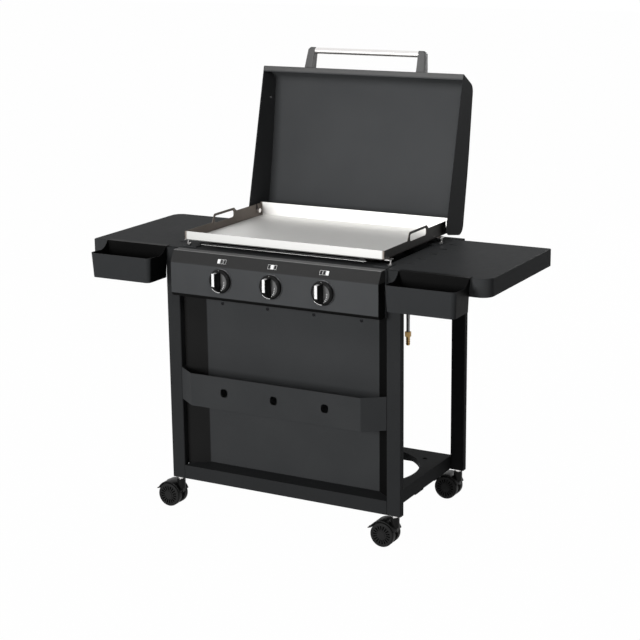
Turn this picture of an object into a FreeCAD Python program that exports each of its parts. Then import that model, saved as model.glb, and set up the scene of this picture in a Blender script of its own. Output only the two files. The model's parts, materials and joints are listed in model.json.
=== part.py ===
import FreeCAD, Part
import math
import os

from FreeCAD import Vector

# Outdoor gas griddle station: a stainless pan over three burners, on a sheet-metal cart
# with a lift-up lid, two side shelves, two hanging bins, a front rack and four casters.
# Millimetres, +Z up, front towards -Y. While it is modelled, X = 0 is the middle of the
# cart, Y = 0 the front face of the front posts and Z = 0 the floor.

# Cart frame
frame_width = 700.0
frame_depth = 420.0
post_width = 40.0
post_depth = 20.0
post_wall = 1.5
post_corner = 3.0
caster_height = 85.0
deck_height = 736.6
sheet = 1.2
touch = 0.1

# Bottom tray with the hole that the gas bottle stands in
tray_flange = 38.4
tray_back_gap = 8.0
bottle_hole_radius = 152.0
bottle_hole_x = 129.0
bottle_hole_y = 228.0
bottle_hole_flange = 16.0
hose_hole_radius = 6.0
hose_hole_x = 256.0
hose_hole_y = 350.0
strap_width = 50.0
strap_sheet = 2.0
strap_drop = 12.0
strap_overlap = 14.0

# Recessed front cover and the rack in front of it
cover_recess = 58.0
cover_half_width = 260.0
cover_top_gap = 6.0
cover_flange = 25.0
cover_screw_spacing = 140.0
cover_screw_drop = 38.0
cover_screw_radius = 4.0
rack_reach = 40.0
rack_half_width = 256.0
rack_bottom = 315.0
rack_height = 90.0
rack_hole_width = 21.0
rack_hole_height = 23.0
rack_hole_corner = 5.0
rack_hole_rise = 47.0
rack_floor_gap = 2.0

# Burner box
box_depth = 84.6
box_front = 40.0
box_back_gap = 2.0
box_rim = 22.0
vent_length = 60.0
vent_height = 8.0
vent_spacing = 90.0
vent_count = 6
vent_rise = 26.0

# Rear rail with the tabs that the open lid leans on
rail_depth = 18.0
rail_drop = 40.0
rail_overlap = 20.0
stop_x = 240.0
stop_width = 30.0
stop_gap = 0.3

# Control panel
panel_margin = 2.0
panel_height = 124.0
panel_top_reach = 23.0
panel_reach = 40.0
panel_crease_drop = 29.0
panel_lip_radius = 13.0
panel_crease_radius = 6.0

# Burner controls
burner_spacing = 152.0
knob_drop = 68.6
knob_radius = 31.5
knob_skirt_radius = 32.5
knob_face_reach = 61.0
knob_ring = 2.5
knob_recess = 3.5
knob_grip_width = 12.0
knob_grip_reach = 84.0
knob_grip_bevel = 5.0
knob_push = 3.0
knob_free = 1.0
knob_socket = 14.0
bezel_radius = 35.0
bezel_floor = 2.0
bezel_bevel = 1.0
spindle_radius = 3.0
running_gap = 0.05
spindle_bore = 16.0
valve_half_width = 11.0
valve_length = 24.0
valve_front = 24.0
valve_neck_radius = 7.0
nozzle_radius = 4.0
nozzle_length = 28.0
manifold_radius = 8.0
manifold_drop = 24.0
manifold_y = -8.0
manifold_overhang = 14.0
pipe_radius = 5.0
pipe_bend = 14.0
inlet_margin = 14.0
inlet_y = 155.0
inlet_drop = 163.6
inlet_length = 71.0
inlet_radius = 7.0
inlet_nut_radius = 11.0
inlet_nut_height = 14.0

# Burners and igniters
burner_radius = 11.0
burner_wall = 1.2
burner_drop = 36.6
burner_throat = 14.0
burner_end_gap = 0.5
port_width = 2.0
port_length = 4.0
port_spacing = 50.0
port_depth = 3.0
igniter_offset = 22.0
igniter_radius = 3.0
igniter_length = 34.0
igniter_tip = 14.0
igniter_tip_radius = 1.0

# Griddle pan
pan_margin = 13.0
pan_depth = 400.0
pan_front = 15.0
pan_sheet = 2.0
pan_bend = 4.0
pan_rise = 18.4
pan_front_wall = 24.6
pan_side_wall = 36.4
pan_back_wall = 39.0
handle_front = 150.0
handle_back = 290.0
handle_slant = 11.0
handle_back_slant = 12.0
handle_rise = 46.6
handle_bar = 7.0
handle_corner = 9.0
stiffener_half_length = 245.0
stiffener_size = 5.0
stiffener_drop = 3.0
stiffener_pad = 14.0

# Corner supports of the pan
support_inset = 8.0
support_front = 39.0
support_back = 347.0
support_plate = 42.0
support_plate_depth = 40.0
support_sheet = 2.0
stud_radius = 3.0
stud_nut_radius = 5.5
stud_nut_height = 4.0
tab_length = 40.0
tab_depth = 24.0

# Lid
lid_gap = 12.0
lid_lean = 14.0
lid_travel = 104.0
hinge_inset = 25.0
hinge_rise = 18.0
hinge_along = 13.0
hinge_deep = 23.5
lid_length = 424.0
lid_front_s = 401.5
lid_front_depth = 73.3
lid_crown_s = 206.0
lid_crown_depth = 96.6
lid_back_s = -1.2
lid_back_depth = 109.7
lid_front_radius = 27.0
lid_back_radius = 27.0
lid_crown_radius = 3000.0
lid_skirt_end = 60.0
lid_rim_flange = 17.0
lid_hem = 7.5
lid_screw_s = 341.0
lid_screw_depth = 53.0
pin_radius = 4.0
pin_head_radius = 7.0
pin_head = 4.0
pin_free = 5.0
lid_handle_half = 160.0
lid_handle_reach = 68.0
lid_handle_depth = 27.0
bracket_base = 30.0
bracket_top = 22.0
bracket_depth = 24.0
bracket_top_depth = 21.0
tube_radius = 9.0
tube_inset = 12.0
tube_from_top = 9.0

# Side shelves
shelf_reach = 236.0
shelf_skirt = 47.0
shelf_margin = 3.0
shelf_corner = 30.0
shelf_fold = 3.0
shelf_inner_gap = 0.5
slot_length = 24.0
slot_width = 7.0
slot_spacing = 65.5
slot_count = 5
slot_from_post_face = 14.0
slot_first = 88.0

# Hanging bins
bin_offset = 91.0
bin_front = 88.9
bin_back = 20.0
bin_half_width = 94.0
bin_height = 67.0
bin_taper = 4.0
bin_wall = 1.5
bin_corner = 12.0
bin_rim_drop = 19.6
bin_cheek = 52.0
hook_reach = 14.0
hook_tab = 28.0
hook_tab_drop = 6.0
hook_gap = 0.8
hook_spacing = 120.0
standoff_rise = 45.0
standoff_height = 20.0
standoff_width = 4.0

# Flat sides that stand in for a round on small, hidden or repeated pieces
few_sides = 6
pipe_sides = 8
some_sides = 12
wheel_sides = 16
knob_sides = 20
hood_sides = 5

# Casters
wheel_radius = 33.0
wheel_width = 17.0
wheel_gap = 15.0
caster_trail = 28.0
hub_slots = 8
hub_slot_inner = 12.0
hub_slot_outer = 24.0
hub_slot_depth = 5.0
hub_slot_half = 3.4
axle_radius = 4.0
stem_radius = 5.0
stem_collar_radius = 8.0
stem_collar = 5.4
stem_reach = 23.0
boss_radius = 12.0
boss_bottom = 52.0
stem_bottom = 46.0
web_radius = 19.0
hood_sheet = 2.0
hood_gap = 2.5
hood_front_angle = 20.0
hood_back_angle = 150.0
lever_pivot_x = -27.0
lever_pivot_z = 14.0
lever_hub_radius = 4.0
lever_pin_radius = 1.5
lever_half_width = 3.6
lever_pad_half_width = 11.0
lever_length = 20.0
lever_sheet = 3.0
plug_height = 25.0

# Places that follow from the sizes above
half_width = frame_width / 2
post_inner = half_width - post_width
post_top = deck_height - sheet
tray_top = caster_height + tray_flange
panel_half = post_inner - panel_margin
panel_bottom = deck_height - panel_height
box_bottom = deck_height - box_depth
box_back = frame_depth - box_back_gap
pan_half = post_inner - pan_margin
pan_back = pan_front + pan_depth
lid_half_width = pan_half + lid_gap
lid_inner = lid_half_width - sheet
pan_bottom = deck_height + pan_rise
hinge_y = pan_back - hinge_inset
hinge_z = pan_bottom + hinge_rise
knob_height = deck_height - knob_drop
burner_height = deck_height - burner_drop
inlet_x = post_inner - inlet_margin
inlet_top = deck_height - inlet_drop
support_x = post_inner - support_inset
bin_x = half_width + bin_offset
sides = (-1, 1)
burner_x = (-burner_spacing, 0.0, burner_spacing)
post_places = [(side * (half_width - post_width / 2), y)
               for y in (post_depth / 2, frame_depth - post_depth / 2) for side in sides]
pieces = {}


def block(x0, x1, y0, y1, z0, z1):
    """A box between two corners."""
    return Part.makeBox(x1 - x0, y1 - y0, z1 - z0, Vector(x0, y0, z0))


def rod(start, end, radius):
    """A round bar from one point to another."""
    way = end - start
    return Part.makeCylinder(radius, way.Length, start, way)


def pipe(start, end, radius, bore):
    """A round bar with a hole along it."""
    return rod(start, end, radius).cut(rod(start, end, bore))


def fuse(first, *others):
    return first.fuse(list(others)).removeSplitter()


def ring_at(middle, way, radius, sides):
    """The corners of a regular outline across a line, with a flat side on top."""
    way = Vector(way).normalize()
    level = way.cross(Vector(0, 0, 1))
    if level.Length < 0.1:
        level = Vector(1, 0, 0)
    level.normalize()
    up = way.cross(level)
    corners = []
    for k in range(sides):
        angle = (2 * k + 1) * math.pi / sides
        corners.append(middle + level * (radius * math.cos(angle)) + up * (radius * math.sin(angle)))
    return corners


def skin(rings):
    """The solid whose flat faces join each ring of corners to the next, closed at both ends."""
    count = len(rings[0])
    faces = [Part.Face(Part.makePolygon(ring + ring[:1])) for ring in (rings[0], rings[-1])]
    for near, far in zip(rings, rings[1:]):
        for k in range(count):
            after = (k + 1) % count
            faces.append(Part.Face(Part.makePolygon([near[k], near[after], far[after], far[k],
                                                     near[k]])))
    solid = Part.Solid(Part.Shell(faces))
    if solid.Volume < 0:
        solid.reverse()
    return solid.removeSplitter()


def turned(profile, start, way, sides):
    """A body turned about a line, from points of radius and distance, with flat sides."""
    way = Vector(way).normalize()
    return skin([ring_at(start + way * distance, way, radius, sides)
                 for radius, distance in profile])


def bar(start, end, radius, sides):
    """A straight bar with flat sides, whose corners lie on the radius."""
    way = end - start
    return turned([(radius, 0), (radius, way.Length)], start, way, sides)


def hole(start, end, radius, sides):
    """What to cut for a hole with flat sides that just clears the radius."""
    return bar(start, end, radius / math.cos(math.pi / sides), sides)


def bent_bar(points, radius, sides):
    """A bar with flat sides that follows straight runs, mitred where they meet."""
    run = (points[1] - points[0]).normalize()
    rings = [ring_at(points[0], run, radius, sides)]
    for k in range(1, len(points)):
        after = (points[k + 1] - points[k]).normalize() if k + 1 < len(points) else run
        mitre = run + after
        rings.append([corner + run * ((points[k] - corner).dot(mitre) / run.dot(mitre))
                      for corner in rings[-1]])
        run = after
    return skin(rings)


def clipped(corners, cuts):
    """An outline with each corner cut off straight, by a length of its own."""
    outline = []
    for k, corner in enumerate(corners):
        before = (corners[k - 1] - corner).normalize()
        after = (corners[(k + 1) % len(corners)] - corner).normalize()
        if cuts[k] > 0:
            outline += [corner + before * cuts[k], corner + after * cuts[k]]
        else:
            outline.append(corner)
    return outline


def flat_prism(points, way):
    """The solid that a flat outline with sharp corners sweeps along a vector."""
    return Part.Face(Part.makePolygon(points + points[:1])).extrude(way)


def corner_arc(before, corner, after, radius):
    """Where an arc of this radius leaves, crosses and rejoins the two lines at a corner."""
    back = (before - corner).normalize()
    on = (after - corner).normalize()
    turn = math.pi - back.getAngle(on)
    if radius <= 0 or turn < 1e-6:
        return corner, None, corner
    length = radius * math.tan(turn / 2)
    middle = corner + (back + on).normalize() * (radius / math.cos(turn / 2) - radius)
    return corner + back * length, middle, corner + on * length


def rounded_path(points, radii):
    """Lines through the points, with an arc of the given radius at each inner point."""
    edges = []
    at = points[0]
    for k in range(1, len(points) - 1):
        start, middle, end = corner_arc(points[k - 1], points[k], points[k + 1], radii[k])
        edges.append(Part.LineSegment(at, start).toShape())
        if middle is not None:
            edges.append(Part.Arc(start, middle, end).toShape())
        at = end
    edges.append(Part.LineSegment(at, points[-1]).toShape())
    return edges


def rounded_loop(points, radii):
    """A closed wire through the points, with an arc of the given radius at each of them."""
    corners = [corner_arc(points[k - 1], points[k], points[(k + 1) % len(points)], radii[k])
               for k in range(len(points))]
    edges = []
    for k, (start, middle, end) in enumerate(corners):
        if middle is not None:
            edges.append(Part.Arc(start, middle, end).toShape())
        edges.append(Part.LineSegment(end, corners[(k + 1) % len(corners)][0]).toShape())
    return Part.Wire(edges)


def prism(points, radii, way):
    """The solid that a flat outline with rounded corners sweeps along a vector."""
    return Part.Face(rounded_loop(points, radii)).extrude(way)


def folded(points, bend, thickness, way):
    """Sheet metal: a strip that follows the points with inner bend radius bend.

    The points lie on one face of the sheet, and the sheet lies to their left, seen against way.
    A bend of None is drawn sharp.
    """
    up = Vector(way).normalize()
    runs = [(b - a).normalize() for a, b in zip(points, points[1:])]
    left = [up.cross(run) for run in runs]
    other = [points[0] + left[0] * thickness]
    near_radii = [0.0]
    far_radii = [0.0]
    for k in range(1, len(points) - 1):
        both = left[k - 1] + left[k]
        other.append(points[k] + both * (2 * thickness / both.Length ** 2))
        turns_left = up.dot(runs[k - 1].cross(runs[k])) > 0
        inner = 0.0 if bend[k] is None else bend[k]
        outer = 0.0 if bend[k] is None else bend[k] + thickness
        near_radii.append(outer if turns_left else inner)
        far_radii.append(inner if turns_left else outer)
    other.append(points[-1] + left[-1] * thickness)
    near = rounded_path(points, near_radii)
    far = rounded_path(other, far_radii)
    caps = [Part.LineSegment(points[0], other[0]).toShape(),
            Part.LineSegment(points[-1], other[-1]).toShape()]
    wire = Part.Wire(Part.__sortEdges__(near + far + caps))
    return Part.Face(wire).extrude(way)


def rectangle(x0, x1, y0, y1, z):
    """The four corners of a level rectangle, in turn."""
    return [Vector(x0, y0, z), Vector(x1, y0, z), Vector(x1, y1, z), Vector(x0, y1, z)]


def edges_at(shape, height):
    """The edges of a shape that lie level at a height."""
    return [e for e in shape.Edges
            if abs(e.BoundBox.ZMin - height) < 1e-4 and abs(e.BoundBox.ZMax - height) < 1e-4]


def mirrored(shape):
    """The left-hand twin of a right-hand piece."""
    return shape.mirror(Vector(0, 0, 0), Vector(1, 0, 0))


def both_sides(shape):
    return [shape, mirrored(shape)]


def keep(name, *shapes):
    """Put a piece, or several alike, in a file of its own."""
    pieces.setdefault(name, []).extend(shapes)


# Posts: rectangular tube, open at both ends
def post(x, y):
    low = caster_height
    outer = rectangle(x - post_width / 2, x + post_width / 2,
                      y - post_depth / 2, y + post_depth / 2, low)
    inner = rectangle(x - post_width / 2 + post_wall, x + post_width / 2 - post_wall,
                      y - post_depth / 2 + post_wall, y + post_depth / 2 - post_wall, low)
    way = Vector(0, 0, post_top - low)
    return flat_prism(clipped(outer, [post_corner * 0.6] * 4), way).cut(flat_prism(inner, way))


post_names = ("post_front_left", "post_front_right", "post_back_left", "post_back_right")
for name, (x, y) in zip(post_names, post_places):
    keep(name, post(x, y))


# Bottom tray: a pan turned upside down, with the bottle hole drawn down into a collar
tray_back = frame_depth - tray_back_gap
tray = block(-post_inner, post_inner, 0, tray_back, caster_height, tray_top)
tray = tray.cut(block(-post_inner + sheet, post_inner - sheet, sheet, tray_back - sheet,
                      caster_height, tray_top - sheet))
hole_middle = Vector(bottle_hole_x, bottle_hole_y, tray_top)
collar_foot = hole_middle - Vector(0, 0, bottle_hole_flange)
collar = hole(collar_foot, hole_middle, bottle_hole_radius + sheet, 2 * some_sides)
collar = collar.cut(rod(collar_foot, hole_middle, bottle_hole_radius))
tray = tray.cut(rod(hole_middle - Vector(0, 0, 2 * sheet), hole_middle, bottle_hole_radius))
tray = fuse(tray, collar)
hose_hole = Vector(hose_hole_x, hose_hole_y, tray_top)
tray = tray.cut(hole(hose_hole - Vector(0, 0, 2 * sheet), hose_hole + Vector(0, 0, 1),
                     hose_hole_radius, few_sides))
keep("base_tray", tray)

# Strap that the bottle stands on, hung from the tray on both sides of the hole
strap_inner = bottle_hole_radius + strap_overlap
strap_low = caster_height - strap_drop
strap_top = tray_top - sheet
strap_left = bottle_hole_x - strap_inner
strap_right = min(bottle_hole_x + strap_inner, post_inner - sheet - 2 * strap_sheet)
strap_y = bottle_hole_y - strap_width / 2
strap_points = [Vector(strap_left - strap_overlap, strap_y, strap_top),
                Vector(strap_left, strap_y, strap_top),
                Vector(strap_left, strap_y, strap_low),
                Vector(strap_right, strap_y, strap_low),
                Vector(strap_right, strap_y, strap_top)]
keep("bottle_strap", folded(strap_points, [None] * 5, strap_sheet,
                            Vector(0, strap_width, 0)))

# Recessed front cover: one sheet folded to a shallow trapezoid, hooked behind the posts
cover_low = tray_top
cover_high = panel_bottom + cover_top_gap
cover_way = Vector(0, 0, cover_high - cover_low)
cover_points = [Vector(-post_inner - cover_flange, post_depth, cover_low),
                Vector(-post_inner, post_depth, cover_low),
                Vector(-cover_half_width, cover_recess, cover_low),
                Vector(cover_half_width, cover_recess, cover_low),
                Vector(post_inner, post_depth, cover_low),
                Vector(post_inner + cover_flange, post_depth, cover_low)]
keep("cover_panel", folded(cover_points, [None, None, 2, 2, None, None], sheet, cover_way))
screw_z = panel_bottom - cover_screw_drop + cover_top_gap
for k in range(4):
    x = (k - 1.5) * cover_screw_spacing
    keep("cover_screws", turned([(cover_screw_radius, 0), (cover_screw_radius, 1.2),
                                 (cover_screw_radius - 0.8, 2)],
                                Vector(x, cover_recess, screw_z), Vector(0, -1, 0), pipe_sides))

# Front rack: an open-topped pocket that mirrors the cover
rack_way = Vector(0, 0, rack_height)
rack_points = [Vector(-post_inner, post_depth - rack_floor_gap, rack_bottom),
               Vector(-post_inner, 0, rack_bottom),
               Vector(-rack_half_width, -rack_reach, rack_bottom),
               Vector(rack_half_width, -rack_reach, rack_bottom),
               Vector(post_inner, 0, rack_bottom),
               Vector(post_inner, post_depth - rack_floor_gap, rack_bottom)]
rack = folded(rack_points, [None, None, 3, 3, None, None], sheet, rack_way)
floor_side = post_inner - sheet
floor_back = cover_recess - rack_floor_gap
rack_floor = [Vector(-floor_side, 0.5, rack_bottom),
              Vector(-rack_half_width, -rack_reach + 0.5, rack_bottom),
              Vector(rack_half_width, -rack_reach + 0.5, rack_bottom),
              Vector(floor_side, 0.5, rack_bottom),
              Vector(floor_side, post_depth - rack_floor_gap, rack_bottom),
              Vector(cover_half_width, floor_back, rack_bottom),
              Vector(-cover_half_width, floor_back, rack_bottom),
              Vector(-floor_side, post_depth - rack_floor_gap, rack_bottom)]
rack = fuse(rack, flat_prism(rack_floor, Vector(0, 0, sheet)))
rack_hole_z = rack_bottom + rack_hole_rise
for x in burner_x:
    window = [Vector(x - rack_hole_width / 2, -rack_reach - 1, rack_hole_z - rack_hole_height / 2),
              Vector(x + rack_hole_width / 2, -rack_reach - 1, rack_hole_z - rack_hole_height / 2),
              Vector(x + rack_hole_width / 2, -rack_reach - 1, rack_hole_z + rack_hole_height / 2),
              Vector(x - rack_hole_width / 2, -rack_reach - 1, rack_hole_z + rack_hole_height / 2)]
    rack = rack.cut(flat_prism(clipped(window, [rack_hole_corner] * 4), Vector(0, sheet + 2, 0)))
keep("front_rack", rack)

# Burner box: folded up from one sheet between the posts, rim turned in, top plate in front
box_outer = block(-post_inner, post_inner, box_front, box_back, box_bottom, deck_height)
box_inner = block(-post_inner + sheet, post_inner - sheet, box_front + sheet, box_back - sheet,
                  box_bottom + sheet, deck_height - sheet)
mouth = block(-post_inner + box_rim, post_inner - box_rim, box_front + box_rim,
              box_back - box_rim, deck_height - 2 * sheet, deck_height)
lip = block(-post_inner, post_inner, post_depth, box_front, deck_height - sheet, deck_height)
front_lip = block(-panel_half, panel_half, touch, post_depth, deck_height - sheet, deck_height)
burner_box = fuse(box_outer.cut(box_inner).cut(mouth), lip, front_lip)
for x in burner_x:
    burner_box = burner_box.cut(bar(Vector(x, box_front - 1, burner_height),
                                    Vector(x, box_front + 2 * sheet, burner_height),
                                    burner_radius + touch, some_sides))
    burner_box = burner_box.cut(bar(Vector(x + igniter_offset, box_front - 1, burner_height),
                                    Vector(x + igniter_offset, box_front + 2 * sheet,
                                           burner_height),
                                    igniter_radius + touch, few_sides))
vent_z = box_bottom + vent_rise
for k in range(vent_count):
    x = (k - (vent_count - 1) / 2) * vent_spacing
    vent = [Vector(x - vent_length / 2, box_back - 2 * sheet, vent_z),
            Vector(x + vent_length / 2, box_back - 2 * sheet, vent_z),
            Vector(x + vent_length / 2, box_back - 2 * sheet, vent_z + vent_height),
            Vector(x - vent_length / 2, box_back - 2 * sheet, vent_z + vent_height)]
    vent_way = Vector(0, 3 * sheet, 0)
    burner_box = burner_box.cut(flat_prism(vent, vent_way))
keep("burner_box", burner_box)


# Lid: positions on it are s along the rim from the hinge end and depth away from the rim
lean = math.radians(lid_lean)
along = Vector(0, math.sin(lean), math.cos(lean))
outward = Vector(0, math.cos(lean), -math.sin(lean))
hinge = Vector(0, hinge_y, hinge_z)
lid_corner = hinge - along * hinge_along - outward * hinge_deep


def on_lid(x, s, depth):
    return lid_corner + Vector(x, 0, 0) + along * s + outward * depth


front_slope = (lid_length - lid_front_s) / lid_front_depth
back_slope = lid_back_s / lid_back_depth
skirt_end_s = back_slope * lid_skirt_end
shell_marks = [(lid_length - lid_rim_flange, 0), (lid_length, 0),
               (lid_front_s, lid_front_depth), (lid_crown_s, lid_crown_depth),
               (lid_back_s, lid_back_depth), (skirt_end_s, lid_skirt_end)]
shell_points = [on_lid(lid_inner, s, d) for s, d in shell_marks]
shell_bends = [0, sheet, lid_front_radius - sheet, lid_crown_radius, lid_back_radius - sheet, 0]
lid_way = Vector(-2 * lid_inner, 0, 0)
keep("lid_shell", folded(shell_points, shell_bends, sheet, lid_way))

# The side panels take the same outline, with a rounded ear round the hinge pin
panel_marks = [(0, -2), (lid_length, 0), (lid_front_s, lid_front_depth),
               (lid_crown_s, lid_crown_depth), (lid_back_s, lid_back_depth),
               (-7.5, 13)]
panel_radii = [4, 3, lid_front_radius, lid_crown_radius, lid_back_radius, 14]
hem_marks = [(6, 0.3), (lid_length - lid_rim_flange - 3, 0.3),
             (lid_length - lid_rim_flange - 3, lid_hem), (6, lid_hem)]


def lid_side():
    plate = prism([on_lid(lid_inner, s, d) for s, d in panel_marks], panel_radii,
                  Vector(sheet, 0, 0))
    hem = flat_prism([on_lid(lid_inner, s, d) for s, d in hem_marks], Vector(-sheet, 0, 0))
    return fuse(plate, hem)


right_side = lid_side()
keep("lid_side_right", right_side)
keep("lid_side_left", mirrored(right_side))

# Hinge pins: a headed pin on each side panel that hangs in the notch of the pan's wall
pan_wall_inner = pan_half - pan_sheet
pin_at = Vector(pan_wall_inner - pin_free - pin_head, hinge_y, hinge_z)
pin_end = Vector(lid_inner, hinge_y, hinge_z)
pin = rod(pin_at, pin_end, pin_radius)
pin = fuse(pin, bar(pin_at, pin_at + Vector(pin_head, 0, 0), pin_head_radius, few_sides),
           bar(Vector(pan_half + 2, hinge_y, hinge_z), pin_end, pin_head_radius, few_sides))
keep("lid_pins", *both_sides(pin))
screw_at = on_lid(lid_inner, lid_screw_s, lid_screw_depth)
keep("lid_screws", *both_sides(bar(screw_at, screw_at - Vector(2.5, 0, 0), 4, pipe_sides)))

# Lid handle: two tapered brackets on the front wall and a tube between them
wall_s = lid_length - front_slope * lid_handle_depth
tip_s = wall_s + lid_handle_reach
tube_s = tip_s - tube_from_top
root_s = wall_s - 12
bracket_rings = []
for s, width, deep in ((root_s, bracket_base, bracket_depth),
                       (tip_s - 6, bracket_top, bracket_top_depth),
                       (tip_s, bracket_top - 5, bracket_top_depth - 6)):
    near = lid_handle_depth - deep / 2
    far = lid_handle_depth + deep / 2
    ring = [on_lid(lid_handle_half, s, near), on_lid(lid_handle_half + width, s, near),
            on_lid(lid_handle_half + width, s, far), on_lid(lid_handle_half, s, far)]
    bracket_rings.append(clipped(ring, [1.5, 4, 4, 1.5]))
bracket = skin(bracket_rings)
lid_outline = prism([on_lid(-half_width, s, d) for s, d in panel_marks], panel_radii,
                    Vector(frame_width, 0, 0))
tube_left = on_lid(-lid_handle_half - tube_inset, tube_s, lid_handle_depth)
tube_right = on_lid(lid_handle_half + tube_inset, tube_s, lid_handle_depth)
bracket = bracket.cut(lid_outline).cut(hole(tube_left, tube_right, tube_radius, some_sides))
keep("lid_handle_brackets", *both_sides(bracket))
tube_bore = bar(tube_left - Vector(1, 0, 0), tube_right + Vector(1, 0, 0),
                tube_radius - sheet, some_sides)
keep("lid_handle_tube", rod(tube_left, tube_right, tube_radius).cut(tube_bore))

# Rear rail behind the back posts, with two tabs turned up under the open lid
rail_x = post_inner + rail_overlap
rail_points = [Vector(-rail_x, frame_depth + sheet, deck_height - rail_drop),
               Vector(-rail_x, frame_depth + sheet, deck_height - sheet),
               Vector(-rail_x, frame_depth + rail_depth, deck_height - sheet),
               Vector(-rail_x, frame_depth + rail_depth, deck_height - rail_drop / 2)]
rail = folded(rail_points, [None] * 4, sheet, Vector(2 * rail_x, 0, 0))
stop_y = frame_depth + rail_depth
stop = block(stop_x - stop_width / 2, stop_x + stop_width / 2, stop_y, stop_y + sheet,
             deck_height - sheet, deck_height + hinge_rise * 2)
stop = stop.cut(flat_prism([on_lid(0, s - stop_gap, d) for s, d in
                            ((0, 0), (lid_back_s, lid_back_depth), (lid_length, lid_back_depth),
                             (lid_length, 0))], Vector(frame_width, 0, 0)))
stop = min(stop.Solids, key=lambda part: part.BoundBox.ZMin)
keep("rear_rail", fuse(rail, *both_sides(stop)))

# Control panel: one sheet with a sloped top edge, a flat face and a rolled lower lip
panel_z = (deck_height, deck_height - panel_crease_drop, panel_bottom)
face_y = -panel_reach
panel_side = [Vector(-panel_half, -touch, panel_z[0]),
              Vector(-panel_half, -panel_top_reach, panel_z[0]),
              Vector(-panel_half, face_y, panel_z[1]),
              Vector(-panel_half, face_y, panel_z[2]),
              Vector(-panel_half, -touch, panel_z[2])]
panel_inside = [Vector(-panel_half + sheet, 1, panel_z[0] - sheet),
                Vector(-panel_half + sheet, -panel_top_reach + sheet / 2, panel_z[0] - sheet),
                Vector(-panel_half + sheet, face_y + sheet, panel_z[1] - sheet / 2),
                Vector(-panel_half + sheet, face_y + sheet, panel_z[2] + sheet),
                Vector(-panel_half + sheet, 1, panel_z[2] + sheet)]
panel = prism(panel_side, [0, 2, panel_crease_radius, panel_lip_radius, 0],
              Vector(2 * panel_half, 0, 0))
panel = panel.cut(prism(panel_inside, [0, 1, panel_crease_radius, panel_lip_radius - sheet, 0],
                        Vector(2 * (panel_half - sheet), 0, 0)))
for x in burner_x:
    panel = panel.cut(bar(Vector(x, face_y - 1, knob_height),
                          Vector(x, face_y + sheet + 1, knob_height),
                          valve_neck_radius + touch, few_sides))
keep("control_panel", panel)

# Burner controls, from the front: knob, bezel, spindle and valve
knob_back = panel_reach + bezel_floor + knob_push + knob_free
socket_end = knob_back + knob_socket
knob_floor = knob_face_reach - knob_recess
recess_radius = knob_radius - knob_ring
spindle_reach = socket_end - running_gap
valve_neck_end = panel_reach + bezel_floor
knob_names = ("knob_left", "knob_middle", "knob_right")
spindle_names = ("spindle_left", "spindle_middle", "spindle_right")
forward = Vector(0, -1, 0)
for x, knob_name, spindle_name in zip(burner_x, knob_names, spindle_names):
    axis = Vector(x, 0, knob_height)
    body = turned([(knob_skirt_radius, knob_back), (knob_radius, knob_face_reach - 1),
                   (knob_radius - 1, knob_face_reach)], axis, forward, knob_sides)
    recess = turned([(recess_radius - 0.5, knob_floor), (recess_radius, knob_face_reach + 1)],
                    axis, forward, knob_sides)
    grip_corners = [Vector(x - knob_grip_width / 2, -reach, knob_height + rise)
                    for reach, rise in ((knob_floor - 1, -recess_radius - 0.5),
                                        (knob_grip_reach, -recess_radius + 1),
                                        (knob_grip_reach, recess_radius - 1),
                                        (knob_floor - 1, recess_radius + 0.5))]
    grip = flat_prism(clipped(grip_corners, [0, knob_grip_bevel, knob_grip_bevel, 0]),
                      Vector(knob_grip_width, 0, 0))
    socket = hole(axis + forward * (knob_back - 1), axis + forward * socket_end,
                  spindle_radius + running_gap, few_sides)
    keep(knob_name, fuse(body.cut(recess), grip).cut(socket))
    bezel = turned([(bezel_radius, panel_reach),
                    (bezel_radius - bezel_bevel, panel_reach + bezel_floor)],
                   axis, forward, knob_sides)
    keep("knob_bezels", bezel.cut(bar(axis + forward * (panel_reach - 1),
                                      axis + forward * (panel_reach + bezel_floor + 1),
                                      valve_neck_radius + touch, few_sides)))
    spindle_end = Vector(x, -valve_front + spindle_bore - knob_push - 1, knob_height)
    keep(spindle_name, rod(Vector(x, -spindle_reach, knob_height), spindle_end, spindle_radius))
    valve_back = -valve_front + valve_length
    leg_y = valve_back - 4
    valve = block(x - valve_half_width, x + valve_half_width, -valve_front, valve_back,
                  knob_height - valve_half_width, knob_height + valve_half_width)
    valve = fuse(valve,
                 bar(Vector(x, -valve_front, knob_height), Vector(x, -valve_neck_end, knob_height),
                     valve_neck_radius, few_sides),
                 block(x - valve_neck_radius, x + valve_neck_radius, leg_y - valve_neck_radius,
                       leg_y + 4, knob_height, burner_height + valve_neck_radius),
                 bar(Vector(x, leg_y, burner_height), Vector(x, leg_y + nozzle_length, burner_height),
                     nozzle_radius, few_sides),
                 block(x - valve_neck_radius, x + valve_neck_radius, manifold_y - valve_neck_radius,
                       manifold_y + valve_neck_radius, knob_height - manifold_drop, knob_height))
    valve = valve.cut(hole(Vector(x, -valve_neck_end - 1, knob_height),
                           Vector(x, -valve_front + spindle_bore, knob_height),
                           spindle_radius + running_gap, few_sides))
    valve = valve.cut(bar(Vector(x - 2 * valve_half_width, manifold_y,
                                 knob_height - manifold_drop),
                          Vector(x + 2 * valve_half_width, manifold_y,
                                 knob_height - manifold_drop), manifold_radius + touch, pipe_sides))
    keep("gas_valves", max(valve.Solids, key=lambda part: part.Volume))

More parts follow.
